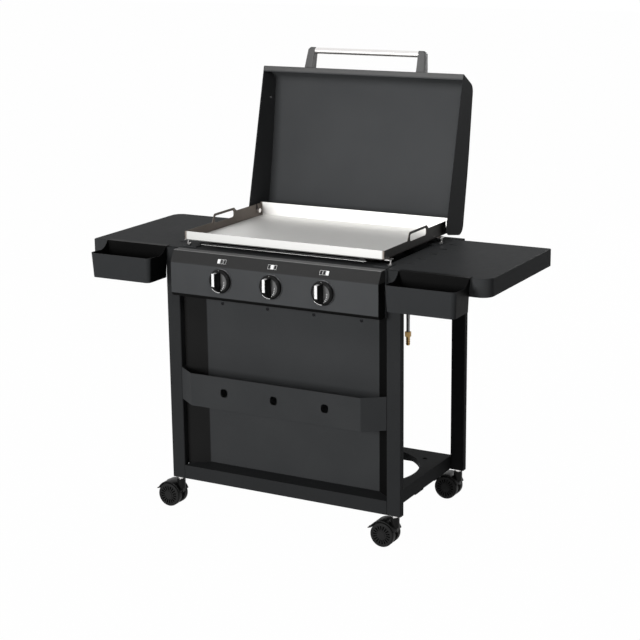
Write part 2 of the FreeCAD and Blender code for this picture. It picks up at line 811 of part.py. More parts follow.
# Gas supply: manifold under the valves, and a pipe back to the brass inlet
manifold_z = knob_height - manifold_drop
manifold_end = inlet_x - pipe_bend - pipe_radius
manifold_from = Vector(-burner_spacing - manifold_overhang, manifold_y, manifold_z)
manifold_to = Vector(manifold_end, manifold_y, manifold_z)
keep("manifold", bar(manifold_from, manifold_to, manifold_radius, pipe_sides))
supply = [manifold_to,
          Vector(inlet_x - pipe_bend, manifold_y, manifold_z),
          Vector(inlet_x, manifold_y + pipe_bend, manifold_z),
          Vector(inlet_x, inlet_y - pipe_bend, manifold_z),
          Vector(inlet_x, inlet_y, manifold_z - pipe_bend),
          Vector(inlet_x, inlet_y, inlet_top)]
keep("supply_pipe", bent_bar(supply, pipe_radius, pipe_sides))
inlet_mouth = Vector(inlet_x, inlet_y, inlet_top - inlet_length)
low_nut = inlet_mouth + Vector(0, 0, inlet_nut_height)
high_nut = Vector(inlet_x, inlet_y, inlet_top - inlet_nut_height)
nut_way = Vector(0, 0, inlet_nut_height)
inlet = fuse(rod(inlet_mouth, low_nut, inlet_radius),
             bar(low_nut, low_nut + nut_way, inlet_nut_radius, 6),
             bar(low_nut + nut_way, high_nut, inlet_radius, few_sides),
             bar(high_nut, high_nut + nut_way, inlet_nut_radius, 6))
inlet = inlet.cut(hole(inlet_mouth - nut_way, low_nut, pipe_radius, few_sides))
keep("gas_inlet", inlet)

# Three tube burners with sawn flame ports, and an igniter beside each
burner_back = box_back - sheet - burner_end_gap
for x in burner_x:
    front = Vector(x, box_front - burner_throat, burner_height)
    back = Vector(x, burner_back, burner_height)
    burner = bar(front, back, burner_radius, some_sides)
    burner = burner.cut(bar(front - Vector(0, 1, 0), back - Vector(0, burner_wall, 0),
                            burner_radius - burner_wall, some_sides))
    port_y = box_front + port_spacing
    while port_y < burner_back - port_spacing / 2:
        burner = burner.cut(block(x - port_length / 2, x + port_length / 2, port_y,
                                  port_y + port_width, burner_height + burner_radius - port_depth,
                                  burner_height + burner_radius + 1))
        port_y += port_spacing
    keep("burners", burner)
    spark = Vector(x + igniter_offset, box_front - burner_throat, burner_height)
    keep("igniters", turned([(igniter_radius, 0), (igniter_radius, igniter_length),
                             (igniter_tip_radius, igniter_length + 2),
                             (igniter_tip_radius, igniter_length + igniter_tip)],
                            spark, Vector(0, 1, 0), few_sides))

# Griddle pan: folded from one sheet, with handle loops and hinge notches cut in its sides
pan_top = pan_bottom + handle_rise
wall_front = pan_bottom + pan_front_wall
wall_side = pan_bottom + pan_side_wall
wall_back = pan_bottom + pan_back_wall
pan_outer = block(-pan_half, pan_half, pan_front, pan_back, pan_bottom, pan_top)
pan_outer = pan_outer.makeFillet(pan_bend, edges_at(pan_outer, pan_bottom))
pan_hollow = block(-pan_half + pan_sheet, pan_half - pan_sheet, pan_front + pan_sheet,
                   pan_back - pan_sheet, pan_bottom + pan_sheet, pan_top)
pan_hollow = pan_hollow.makeFillet(pan_bend - pan_sheet,
                                   edges_at(pan_hollow, pan_bottom + pan_sheet))
side_marks = [(pan_front - 1, pan_bottom), (pan_front - 1, wall_front), (handle_front, wall_front),
              (handle_front + handle_slant, pan_top), (handle_back - 2 * handle_back_slant, pan_top),
              (handle_back - handle_back_slant, wall_side),
              (pan_back - pan_sheet - 2, wall_side), (pan_back - pan_sheet - 2, wall_back),
              (pan_back + 1, wall_back), (pan_back + 1, pan_bottom)]
side_radii = [0, 0, 0, handle_corner, handle_corner, 0, 0, 0, 0, 0]
side_view = prism([Vector(-frame_width, y, z) for y, z in side_marks], side_radii,
                  Vector(2 * frame_width, 0, 0))
pan = pan_outer.cut(pan_hollow).common(side_view)
loop_low = wall_front - handle_bar / 2
loop_marks = [(handle_front + handle_slant + handle_bar / 2, loop_low),
              (handle_front + handle_slant + handle_bar / 2, pan_top - handle_bar),
              (handle_back - 2 * handle_back_slant - handle_bar / 2, pan_top - handle_bar),
              (handle_back - 2 * handle_back_slant - handle_bar / 2, loop_low)]
loop = flat_prism(clipped([Vector(-frame_width, y, z) for y, z in loop_marks], [4] * 4),
                  Vector(2 * frame_width, 0, 0))
notch_radius = pin_radius + running_gap
notch = fuse(rod(Vector(-frame_width, hinge_y, hinge_z), Vector(frame_width, hinge_y, hinge_z),
                 notch_radius),
             block(-frame_width, frame_width, hinge_y - notch_radius, hinge_y + notch_radius,
                   hinge_z, pan_top + 1))
keep("griddle_pan", pan.cut(loop).cut(notch))

# Stiffening beam under the front of the pan, on three pads, and a tab at each corner
beam_top = pan_bottom - stiffener_drop
beam = block(-stiffener_half_length, stiffener_half_length, pan_front, pan_front + stiffener_size,
             beam_top - stiffener_size, beam_top)
pads = [block(k * (stiffener_half_length - stiffener_pad) - stiffener_pad / 2,
              k * (stiffener_half_length - stiffener_pad) + stiffener_pad / 2,
              pan_front + pan_bend, pan_front + stiffener_size + pan_bend, beam_top, pan_bottom)
        for k in (-1, 0, 1)]
pad_feet = [block(pad.BoundBox.XMin, pad.BoundBox.XMax, pan_front, pad.BoundBox.YMax,
                   beam_top - 1, beam_top) for pad in pads]
keep("pan_stiffener", fuse(beam, *pads, *pad_feet))

# Corner supports: a plate on the box rim, a levelling stud with its nut, and the pan's tab
plate_top = deck_height + support_sheet
tab_low = pan_bottom - support_sheet
for y in (support_front, support_back):
    plate_in = support_x + stud_radius + 2 - support_plate
    plate = block(plate_in, plate_in + support_plate, y - support_plate_depth / 2,
                  y + support_plate_depth / 2, deck_height, plate_top)
    keep("support_plates", *both_sides(plate))
    stud = bar(Vector(support_x, y, plate_top), Vector(support_x, y, tab_low), stud_radius,
               few_sides)
    nut_foot = Vector(support_x - 2, y, plate_top)
    stud = fuse(stud, bar(nut_foot, nut_foot + Vector(0, 0, stud_nut_height), stud_nut_radius, 6))
    keep("levelling_studs", *both_sides(stud))
    tab_out = support_x + stud_radius
    tab = block(tab_out - tab_length, tab_out, y - tab_depth / 2, y + tab_depth / 2,
                tab_low, pan_bottom)
    keep("pan_tabs", *both_sides(tab))


# Side shelves: a pan turned upside down whose top runs in over the posts
def shelf():
    near = half_width
    far = half_width + shelf_reach
    front = shelf_margin
    back = frame_depth - shelf_margin
    low = deck_height - shelf_skirt
    radii = [0, shelf_corner, 0, 0]
    inner_radii = [0, shelf_corner - sheet, 0, 0]
    body = prism(rectangle(near, far, front, back, low), radii, Vector(0, 0, shelf_skirt))
    outer_fold = [e for e in edges_at(body, deck_height) if e.BoundBox.XMax > near + 1]
    body = body.makeChamfer(shelf_fold * 0.6, outer_fold)
    hollow = prism(rectangle(near + sheet, far - sheet, front + sheet, back - sheet, low),
                   inner_radii, Vector(0, 0, shelf_skirt - sheet))
    inner_fold = [e for e in edges_at(hollow, deck_height - sheet) if e.BoundBox.XMax > near + 3]
    hollow = hollow.makeChamfer(shelf_fold * 0.6 - sheet / 2, inner_fold)
    body = fuse(body.cut(hollow),
                block(post_inner + shelf_inner_gap, near + shelf_fold, front + shelf_fold,
                      back - shelf_fold, deck_height - sheet, deck_height))
    for k in range(slot_count):
        y = slot_first + k * slot_spacing
        x = half_width - slot_from_post_face
        slot = rectangle(x - slot_length / 2, x + slot_length / 2, y - slot_width / 2,
                         y + slot_width / 2, deck_height - 2 * sheet)
        slot = clipped(slot, [slot_width * 0.35] * 4)
        body = body.cut(flat_prism(slot, Vector(0, 0, 3 * sheet)))
    for y in (hook_y, frame_depth - hook_y):
        for x in hook_places:
            body = body.cut(block(x - hook_tab / 2 - hook_gap, x + hook_tab / 2 + hook_gap,
                                  y - sheet / 2 - hook_gap, y + sheet / 2 + hook_gap,
                                  deck_height - 2 * sheet, deck_height + 1))
    return body


hook_y = hook_reach - sheet / 2
hook_places = [bin_x + k * hook_spacing / 2 for k in sides]
right_shelf = shelf()
left_shelf = right_shelf.copy()
left_shelf.rotate(Vector(0, frame_depth / 2, 0), Vector(0, 0, 1), 180)
keep("shelf_right", right_shelf)
keep("shelf_left", left_shelf)


# Hanging bins: drafted tubs with swept cheeks, hooked over the shelf's front edge
def bin_block(inset, low, high):
    """The tub's outline between two heights, drawn in by an inset, with its draft."""
    half = bin_half_width + bin_taper / 2 - inset
    front = -bin_front + inset
    back = -bin_back - inset
    sideways = flat_prism([Vector(bin_x - half + bin_taper, -bin_front - 1, low),
                           Vector(bin_x + half - bin_taper, -bin_front - 1, low),
                           Vector(bin_x + half, -bin_front - 1, high),
                           Vector(bin_x - half, -bin_front - 1, high)],
                          Vector(0, bin_front + 1, 0))
    lengthways = flat_prism([Vector(bin_x - 2 * half, front + bin_taper, low),
                             Vector(bin_x - 2 * half, back, low),
                             Vector(bin_x - 2 * half, back, high),
                             Vector(bin_x - 2 * half, front, high)],
                            Vector(4 * half, 0, 0))
    body = sideways.common(lengthways)
    upright = [e for e in body.Edges if e.BoundBox.ZLength > (high - low) / 2]
    front_edges = [e for e in upright if e.BoundBox.YMin < back - 1]
    return body.makeFillet(bin_corner - inset, front_edges)


bin_top = deck_height + sheet
bin_rim = bin_top - bin_rim_drop
bin_low = bin_rim - bin_height
tub = bin_block(0, bin_low, bin_top).cut(bin_block(bin_wall, bin_low + bin_wall, bin_top))
cheek_front = -bin_back - bin_cheek
cheek_back = -bin_back - 2 * bin_wall
above = [Part.LineSegment(Vector(0, -bin_front - 5, bin_rim),
                          Vector(0, cheek_front, bin_rim)).toShape(),
         Part.Arc(Vector(0, cheek_front, bin_rim),
                  Vector(0, cheek_front + 0.75 * (cheek_back - cheek_front),
                         bin_rim + 0.30 * bin_rim_drop),
                  Vector(0, cheek_back, bin_top)).toShape(),
         Part.LineSegment(Vector(0, cheek_back, bin_top),
                          Vector(0, cheek_back, bin_top + 5)).toShape(),
         Part.LineSegment(Vector(0, cheek_back, bin_top + 5),
                          Vector(0, -bin_front - 5, bin_top + 5)).toShape(),
         Part.LineSegment(Vector(0, -bin_front - 5, bin_top + 5),
                          Vector(0, -bin_front - 5, bin_rim)).toShape()]
tub = tub.cut(Part.Face(Part.Wire(above)).extrude(Vector(2 * bin_x, 0, 0)))
hook_half = bin_half_width + bin_taper / 2
hook_plate = block(bin_x - hook_half, bin_x + hook_half, -bin_back - bin_wall, hook_reach,
                   deck_height, bin_top)
tabs = [block(x - hook_tab / 2, x + hook_tab / 2, hook_y - sheet / 2, hook_y + sheet / 2,
              deck_height - hook_tab_drop, bin_top) for x in hook_places]
standoff_low = bin_low + standoff_rise - 2
standoffs = [block(x - standoff_width / 2, x + standoff_width / 2, -bin_back - bin_wall / 2,
                   shelf_margin - stop_gap, standoff_low, standoff_low + standoff_height)
             for x in hook_places]
right_bin = fuse(tub, hook_plate, *tabs, *standoffs)
keep("bin_right", right_bin)
keep("bin_left", mirrored(right_bin))


# Casters: twin wheels under a hood that swivels on a stem, with a brake pedal
def across(x, z, y0, y1, radius, hub):
    """A round bar along Y, placed from the wheel centre."""
    return rod(hub + Vector(x, y0, z), hub + Vector(x, y1, z), radius)


def across_flat(x, z, y0, y1, radius, sides, hub):
    """The same bar with flat sides."""
    return bar(hub + Vector(x, y0, z), hub + Vector(x, y1, z), radius, sides)


def wheel_pair(hub):
    """Two wheels on one axle, with a ring of grooves in each outer face."""
    near = wheel_gap / 2
    far = near + wheel_width
    corner = 1 / math.cos(math.pi / wheel_sides)
    body = across(0, 0, -near - 1, near + 1, axle_radius, hub)
    for side in sides:
        way = Vector(0, side, 0)
        one = turned([(wheel_radius * corner, near), (wheel_radius * corner, far - 3),
                      ((wheel_radius - 3) * corner, far)], Vector(0, 0, 0), way, wheel_sides)
        groove = flat_prism([Vector(hub_slot_inner, side * far, -hub_slot_half),
                             Vector(hub_slot_inner, side * far, hub_slot_half),
                             Vector(hub_slot_inner, side * (far - hub_slot_depth), 0)],
                            Vector(hub_slot_outer - hub_slot_inner, 0, 0))
        grooves = []
        for k in range(hub_slots):
            copy = groove.copy()
            copy.rotate(Vector(0, 0, 0), Vector(0, 1, 0), k * 360.0 / hub_slots)
            grooves.append(copy)
        one = one.cut(Part.makeCompound(grooves))
        one.translate(hub)
        body = fuse(body, one)
    return body


def housing(hub):
    """Hood, web and swivel boss of one caster."""
    reach = wheel_gap / 2 + wheel_width - 2
    hood_inner = wheel_radius + hood_gap
    hood_outer = hood_inner + hood_sheet
    first = math.radians(hood_front_angle)
    last = math.radians(hood_back_angle)
    turns = [first + (last - first) * k / hood_sides for k in range(hood_sides + 1)]
    lift = hub - Vector(0, reach, 0)
    outline = [lift + Vector(math.cos(a), 0, math.sin(a)) * hood_outer for a in turns]
    outline += [lift + Vector(math.cos(a), 0, math.sin(a)) * hood_inner for a in reversed(turns)]
    hood = flat_prism(outline, Vector(0, 2 * reach, 0))
    half = wheel_gap / 2 - 0.5
    column = [(-web_radius * 0.2, 0), (caster_trail - boss_radius, -web_radius * 0.3),
              (caster_trail + 8, 8), (caster_trail + 8, boss_bottom - wheel_radius + 4),
              (0, hood_outer - 0.3), (-16, hood_inner + 0.6)]
    web = flat_prism([hub + Vector(x, -half, z) for x, z in column], Vector(0, 2 * half, 0))
    ears = across_flat(0, 0, -half, half, web_radius, some_sides, hub)
    stem_at = hub + Vector(caster_trail, 0, 0)
    stem_at.z = boss_bottom
    boss_top = caster_height - stem_collar
    boss = bar(stem_at, Vector(stem_at.x, stem_at.y, boss_top - touch), boss_radius, some_sides)
    body = fuse(web, ears, boss)
    clear_radius = (wheel_radius + hood_gap / 2) / math.cos(math.pi / pipe_sides)
    for side in sides:
        body = body.cut(across_flat(0, 0, side * (wheel_gap / 2 - 0.5),
                                    side * (wheel_gap / 2 + wheel_width + 5), clear_radius,
                                    pipe_sides, hub))
    body = fuse(body, hood)
    body = body.cut(hole(hub - Vector(0, wheel_gap, 0), hub + Vector(0, wheel_gap, 0),
                         axle_radius + running_gap, few_sides))
    body = body.cut(hole(Vector(stem_at.x, stem_at.y, stem_bottom - 1),
                         Vector(stem_at.x, stem_at.y, boss_top + 1), stem_radius + running_gap,
                         few_sides))
    room = flat_prism([hub + Vector(x, -lever_half_width - 0.3, z) for x, z in
                       ((lever_pivot_x + 6, lever_pivot_z + 6), (lever_pivot_x + 6, -web_radius),
                        (-2 * wheel_radius, -web_radius), (-2 * wheel_radius, lever_pivot_z + 6))],
                      Vector(0, 2 * lever_half_width + 0.6, 0))
    for side in sides:
        y0 = side * (lever_half_width + 0.3)
        y1 = side * half
        cheek = across_flat(lever_pivot_x, lever_pivot_z, y0, y1, lever_hub_radius, few_sides, hub)
        arm = flat_prism([hub + Vector(x, min(y0, y1), z) for x, z in
                          ((lever_pivot_x, lever_pivot_z - lever_hub_radius),
                           (lever_pivot_x, lever_pivot_z + lever_hub_radius),
                           (-6, hood_inner - 8), (-6, 4))], Vector(0, abs(y1 - y0), 0))
        body = body.fuse([cheek, arm]).removeSplitter()
    body = body.cut(room)
    pivot = across(lever_pivot_x, lever_pivot_z, -half, half, lever_pin_radius, hub)
    return body.fuse(pivot).removeSplitter()


def lever(hub):
    """Brake pedal that pivots between the housing's ears and sticks out behind the wheels."""
    x = lever_pivot_x
    z = lever_pivot_z
    knuckle = across_flat(x, z, -lever_half_width, lever_half_width, lever_hub_radius, few_sides,
                          hub)
    tip = x - lever_length
    arm = flat_prism([hub + Vector(px, -lever_half_width, pz) for px, pz in
                      ((x, z + 1.5), (x, z - 1.5), (tip, z - 6.5), (tip, z - 3.5))],
                     Vector(0, 2 * lever_half_width, 0))
    slope = 5.0 / lever_length
    pad_in = -wheel_radius - hood_gap - hood_sheet - 0.5
    pad = flat_prism([hub + Vector(px, -lever_pad_half_width, z + (px - x) * slope + dz)
                      for px, dz in ((pad_in, 1.5), (pad_in, -1.5), (tip, -1.5), (tip, 0.6),
                                     (tip + 1.5, 1.5))], Vector(0, 2 * lever_pad_half_width, 0))
    body = knuckle.fuse([arm, pad]).removeSplitter()
    return body.cut(hole(hub + Vector(x, -wheel_gap, z), hub + Vector(x, wheel_gap, z),
                         lever_pin_radius + running_gap, few_sides))


caster_names = ("front_left", "front_right", "back_left", "back_right")
for name, (x, y) in zip(caster_names, post_places):
    hub = Vector(x - caster_trail, y, wheel_radius)
    keep("caster_housing_" + name, housing(hub))
    keep("caster_wheels_" + name, wheel_pair(hub))
    keep("brake_pedal_" + name, lever(hub))
    stem = bar(Vector(x, y, stem_bottom), Vector(x, y, caster_height + stem_reach), stem_radius,
               few_sides)
    ring = rod(Vector(x, y, caster_height - stem_collar), Vector(x, y, caster_height),
               stem_collar_radius)
    keep("caster_stems", fuse(stem, ring))
    plug_half_x = post_width / 2 - post_wall - touch
    plug_half_y = post_depth / 2 - post_wall - touch
    plug = flat_prism(clipped(rectangle(x - plug_half_x, x + plug_half_x, y - plug_half_y,
                                        y + plug_half_y, caster_height), [1] * 4),
                      Vector(0, 0, plug_height))
    keep("post_plugs", plug.cut(bar(Vector(x, y, caster_height - 1),
                                    Vector(x, y, caster_height + plug_height + 1),
                                    stem_radius + touch, few_sides)))

# The origin goes under the middle of the whole station, so Y is shifted by the middle
fronts = [s.BoundBox.YMin for shapes in pieces.values() for s in shapes]
backs = [s.BoundBox.YMax for shapes in pieces.values() for s in shapes]
middle_y = (min(fronts) + max(backs)) / 2

os.makedirs("parts", exist_ok=True)
for name, shapes in pieces.items():
    whole = shapes[0].copy() if len(shapes) == 1 else Part.makeCompound(shapes)
    whole.translate(Vector(0, -middle_y, 0))
    whole.exportStep("parts/" + name + ".step")
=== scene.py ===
# %% [markdown]
# # An outdoor gas griddle station, dressed in Blender
# The real object is a stainless griddle pan over three gas burners, on a folded sheet-steel cart
# with a big lid, two side shelves, two hanging bins and four casters. The measured model of every
# piece is loaded first, as a fixed frame. This lesson gives each piece its real finish, and models
# by hand the pieces whose fine shape the measured model leaves out, such as the knobs and screws.

# %% Load the measured model
import json
import math
import bmesh
import bpy
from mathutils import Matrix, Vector


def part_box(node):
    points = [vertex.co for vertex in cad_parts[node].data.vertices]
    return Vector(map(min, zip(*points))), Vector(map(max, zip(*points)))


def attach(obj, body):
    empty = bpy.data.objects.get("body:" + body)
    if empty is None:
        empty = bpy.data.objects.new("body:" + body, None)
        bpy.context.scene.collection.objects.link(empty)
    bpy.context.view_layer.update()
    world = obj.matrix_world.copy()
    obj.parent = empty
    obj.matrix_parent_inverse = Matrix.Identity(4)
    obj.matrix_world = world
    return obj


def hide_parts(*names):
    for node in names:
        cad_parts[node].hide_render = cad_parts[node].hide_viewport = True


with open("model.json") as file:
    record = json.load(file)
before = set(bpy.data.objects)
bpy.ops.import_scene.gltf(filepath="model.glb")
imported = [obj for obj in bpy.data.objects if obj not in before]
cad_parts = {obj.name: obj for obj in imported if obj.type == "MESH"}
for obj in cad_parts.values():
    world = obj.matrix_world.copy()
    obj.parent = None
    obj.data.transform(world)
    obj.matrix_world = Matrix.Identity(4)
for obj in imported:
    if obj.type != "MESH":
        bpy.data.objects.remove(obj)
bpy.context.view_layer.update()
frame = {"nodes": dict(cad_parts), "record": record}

nodes = frame["nodes"]

# %% [markdown]
# ## Lengths
# A maker of such a cart thinks in millimetres, measured from the front face of the front posts,
# the middle of the cart and the floor. Blender works in metres, and this model's origin lies under
# the middle of the whole station. One small function turns the first kind of place into the
# second, so that every size below can be read as on a drawing.

# %% Millimetres to metres
MM = 0.001
MIDDLE_Y = 221.1542
X, Y, Z = 0, 1, 2


def at(x, y, z):
    """A place on the cart, in millimetres, as a point of the model."""
    return Vector((x, y - MIDDLE_Y, z)) * MM


def place(point):
    """A point of the model as a place on the cart, in millimetres."""
    return Vector((point.x / MM, point.y / MM + MIDDLE_Y, point.z / MM))


print("Front of the front posts is at y =", round(at(0, 0, 0).y, 4), "m")

# %% [markdown]
# ## Camera
# The picture looks at the station from the right, a little from above, with a long lens that keeps
# the upright lines nearly parallel. The camera's direction is written as two angles round the
# object and a very small roll, and turned into the three axes that Blender's camera needs.

# %% Camera
CAMERA_PLACE = Vector((2.085427, -3.804392, 1.627697))
CAMERA_AZIMUTH = math.radians(28.7480)
CAMERA_ELEVATION = math.radians(14.3101)
CAMERA_ROLL = math.radians(-0.6098)
CAMERA_LENS = 92.3707
CAMERA_SENSOR = 36


def camera_axes(azimuth, elevation, roll):
    """Right, up and backward directions of a camera that looks at the object."""
    back = Vector((math.sin(azimuth) * math.cos(elevation),
                   -math.cos(azimuth) * math.cos(elevation), math.sin(elevation)))
    level = Vector((math.cos(azimuth), math.sin(azimuth), 0))
    up = back.cross(level)
    right = level * math.cos(roll) + up * math.sin(roll)
    return right, back.cross(right), back


camera_data = bpy.data.cameras.new("camera")
camera_data.lens = CAMERA_LENS
camera_data.sensor_width = CAMERA_SENSOR
camera = bpy.data.objects.new("camera", camera_data)
bpy.context.scene.collection.objects.link(camera)
right, up, back = camera_axes(CAMERA_AZIMUTH, CAMERA_ELEVATION, CAMERA_ROLL)
turn = camera.matrix_world.to_3x3()
turn.col[0], turn.col[1], turn.col[2] = right, up, back
camera.matrix_world = turn.to_4x4()
camera.location = CAMERA_PLACE
bpy.context.scene.camera = camera
bpy.context.scene.view_settings.view_transform = "Standard"
print("Camera lens", CAMERA_LENS, "mm")

# %% [markdown]
# ## Light and floor
# The product stands on a white sweep in soft studio light that comes from the front left. Large
# area lamps give soft shadows. White is the colour of the backdrop, not a strong lamp: the world
# is plain white where the camera, a reflection or a clear surface looks at it, and dimmer where it
# only lights the coat. The floor does the same, and keeps a trace of the soft shadow under the
# cart. A small narrow lamp picks out the inside of the open lid, and one behind lights the back.

# %% World
def ray_mask(tree):
    """1 where the camera, a reflection or a clear surface looks, 0 for light on a surface."""
    path = tree.nodes.new("ShaderNodeLightPath")
    mask = path.outputs["Is Camera Ray"]
    for kind in ("Is Glossy Ray", "Is Transmission Ray"):
        either = tree.nodes.new("ShaderNodeMath")
        either.operation = "MAXIMUM"
        tree.links.new(mask, either.inputs[0])
        tree.links.new(path.outputs[kind], either.inputs[1])
        mask = either.outputs[0]
    return mask


WORLD_LIGHT = 0.06
world = bpy.data.worlds.new("studio")
bpy.context.scene.world = world
world.use_nodes = True
sky = world.node_tree
sky_color = sky.nodes["Background"]
sky_color.inputs["Color"].default_value = (1, 1, 1, 1)
level = sky.nodes.new("ShaderNodeMapRange")
level.inputs["To Min"].default_value = WORLD_LIGHT
level.inputs["To Max"].default_value = 1.0
sky.links.new(ray_mask(sky), level.inputs["Value"])
sky.links.new(level.outputs["Result"], sky_color.inputs["Strength"])
print("World light", WORLD_LIGHT)

# %% Floor
FLOOR_COLOR = (0.60, 0.60, 0.60, 1)
FLOOR_SIZE = 40
FLOOR_DROP = 0.0005
FLOOR_GLOW = 0.99
bpy.ops.object.select_all(action="DESELECT")
bpy.ops.mesh.primitive_plane_add(size=FLOOR_SIZE, location=(0, 0, -FLOOR_DROP))
floor = bpy.context.object
floor.name = "floor"
floor_finish = bpy.data.materials.new("white_sweep")
floor_finish.use_nodes = True
floor_tree = floor_finish.node_tree
floor_matte = floor_tree.nodes["Principled BSDF"]
floor_matte.inputs["Base Color"].default_value = FLOOR_COLOR
floor_matte.inputs["Roughness"].default_value = 0.9
floor_glow = floor_tree.nodes.new("ShaderNodeEmission")
floor_glow.inputs["Color"].default_value = (1, 1, 1, 1)
floor_mix = floor_tree.nodes.new("ShaderNodeMixShader")
floor_share = floor_tree.nodes.new("ShaderNodeMath")
floor_share.operation = "MULTIPLY"
floor_share.inputs[1].default_value = FLOOR_GLOW
floor_tree.links.new(ray_mask(floor_tree), floor_share.inputs[0])
floor_tree.links.new(floor_share.outputs[0], floor_mix.inputs["Fac"])
floor_tree.links.new(floor_matte.outputs[0], floor_mix.inputs[1])
floor_tree.links.new(floor_glow.outputs[0], floor_mix.inputs[2])
floor_tree.links.new(floor_mix.outputs[0], floor_tree.nodes["Material Output"].inputs["Surface"])
floor.data.materials.append(floor_finish)
print("Floor", floor.dimensions.x, "m wide")


# %% Lamps
def lamp(name, place_at, aim, size, power):
    """A square soft box that points at a place."""
    data = bpy.data.lights.new(name, "AREA")
    data.size = size
    data.energy = power
    made = bpy.data.objects.new(name, data)
    bpy.context.scene.collection.objects.link(made)
    made.location = place_at
    way = Vector(aim) - Vector(place_at)
    made.rotation_euler = way.to_track_quat("-Z", "Y").to_euler()
    return made


LID_LAMP_SPREAD = 70
lamp("key", (-1.0, -5.0, 1.5), (0, 0, 0.6), 1.5, 225)
lamp("overhead", (0.3, -0.2, 3.6), (0, 0, 0.7), 2.0, 6)
lid_lamp = lamp("lid_light", (0.75, -1.0, 1.6), (0.12, 0.2, 1.08), 0.5, 2.2)
lid_lamp.data.spread = math.radians(LID_LAMP_SPREAD)
lamp("back_fill", (0.7, 4.2, 1.8), (0, 0, 0.6), 1.5, 70)

# %% [markdown]
# ## Writing a finish as sums
# A finish is a small network of nodes. Linking them one by one hides the idea, so a socket is
# wrapped in a class whose +, *, >, < and abs add the Math nodes by themselves. Any other node comes
# from one method: its settings first, then the values or links of its sockets.


# %% Signals and finishes
class Signal:
    """A socket of a finish that can be used in sums, products and comparisons."""

    def __init__(self, finish, socket):
        self.finish = finish
        self.socket = socket

    def sum(self, operation, first, second):
        return self.finish.node("ShaderNodeMath", {"operation": operation}, {0: first, 1: second})

    def __add__(self, other):
        return self.sum("ADD", self, other)

    def __radd__(self, other):
        return self.sum("ADD", other, self)

    def __rmul__(self, other):
        return self.sum("MULTIPLY", other, self)

    def __gt__(self, other):
        return self.sum("GREATER_THAN", self, other)

    def __lt__(self, other):
        return self.sum("LESS_THAN", self, other)

    def __abs__(self):
        return self.finish.node("ShaderNodeMath", {"operation": "ABSOLUTE"}, {0: self})


class Finish:
    """A surface finish of the station, with the nodes that it is made of."""

    def __init__(self, name, color, roughness, metallic=0.0, specular=0.5):
        self.material = bpy.data.materials.new(name)
        self.material.use_nodes = True
        self.tree = self.material.node_tree
        self.shader = self.tree.nodes["Principled BSDF"]
        self.shader.inputs["Base Color"].default_value = (*color, 1)
        self.shader.inputs["Roughness"].default_value = roughness
        self.shader.inputs["Metallic"].default_value = metallic
        self.shader.inputs["Specular IOR Level"].default_value = specular
        self.material.diffuse_color = (*color, 1)
        self.here = self.node("ShaderNodeTexCoord", output="Object")

    def node(self, kind, settings=None, sockets=None, output=0):
        """Any node: its settings first, then the values or links of its sockets."""
        made = self.tree.nodes.new(kind)
        for key, value in (settings or {}).items():
            setattr(made, key, value)
        for key, value in (sockets or {}).items():
            self.feed(made.inputs[key], value)
        return Signal(self, made.outputs[output])

    def feed(self, socket, value):
        """Link a signal to a socket, or set the socket's own value."""
        if isinstance(value, Signal):
            self.tree.links.new(value.socket, socket)
        else:
            socket.default_value = value

    def spots(self, scale, detail=2.0, stretch=(1, 1, 1)):
        """Soft irregular spots from 0 to 1, scale of them to the metre."""
        spread = self.node("ShaderNodeMapping", {}, {"Vector": self.here, "Scale": stretch})
        return self.node("ShaderNodeTexNoise", {},
                         {"Vector": spread, "Scale": scale, "Detail": detail})

    def along(self, axis):
        """How far a point lies along an axis, in metres."""
        return self.node("ShaderNodeSeparateXYZ", {}, {0: self.here}, output=axis)

    def rise(self, signal, begins, full):
        """0 up to one value of a signal, 1 from another on, and even in between."""
        return self.node("ShaderNodeMapRange", {},
                         {"Value": signal, "From Min": begins, "From Max": full})

    def blend(self, amount, first, second):
        """A colour between two colours."""
        first, second = (c if isinstance(c, Signal) else (*c, 1) for c in (first, second))
        return self.node("ShaderNodeMix", {"data_type": "RGBA"},
                         {0: amount, 6: first, 7: second}, output=2)

    def bump(self, height, depth):
        """Make the surface rise and fall by a depth in millimetres."""
        raised = self.node("ShaderNodeBump", {},
                           {"Strength": 1.0, "Distance": depth * MM, "Height": height})
        self.feed(self.shader.inputs["Normal"], raised)

    def paint(self, color):
        self.feed(self.shader.inputs["Base Color"], color)

    def gloss(self, roughness):
        self.feed(self.shader.inputs["Roughness"], roughness)


def grey(level, warm=0.0):
    """A near-neutral colour from a screen grey of 0 to 255, made warmer or cooler."""
    value = level / 255
    linear = value / 12.92 if value <= 0.04045 else ((value + 0.055) / 1.055) ** 2.4
    return (linear * (1 + warm), linear, linear * (1 - warm))


print("A screen grey of 60 is", round(grey(60)[0], 4), "in a shader")
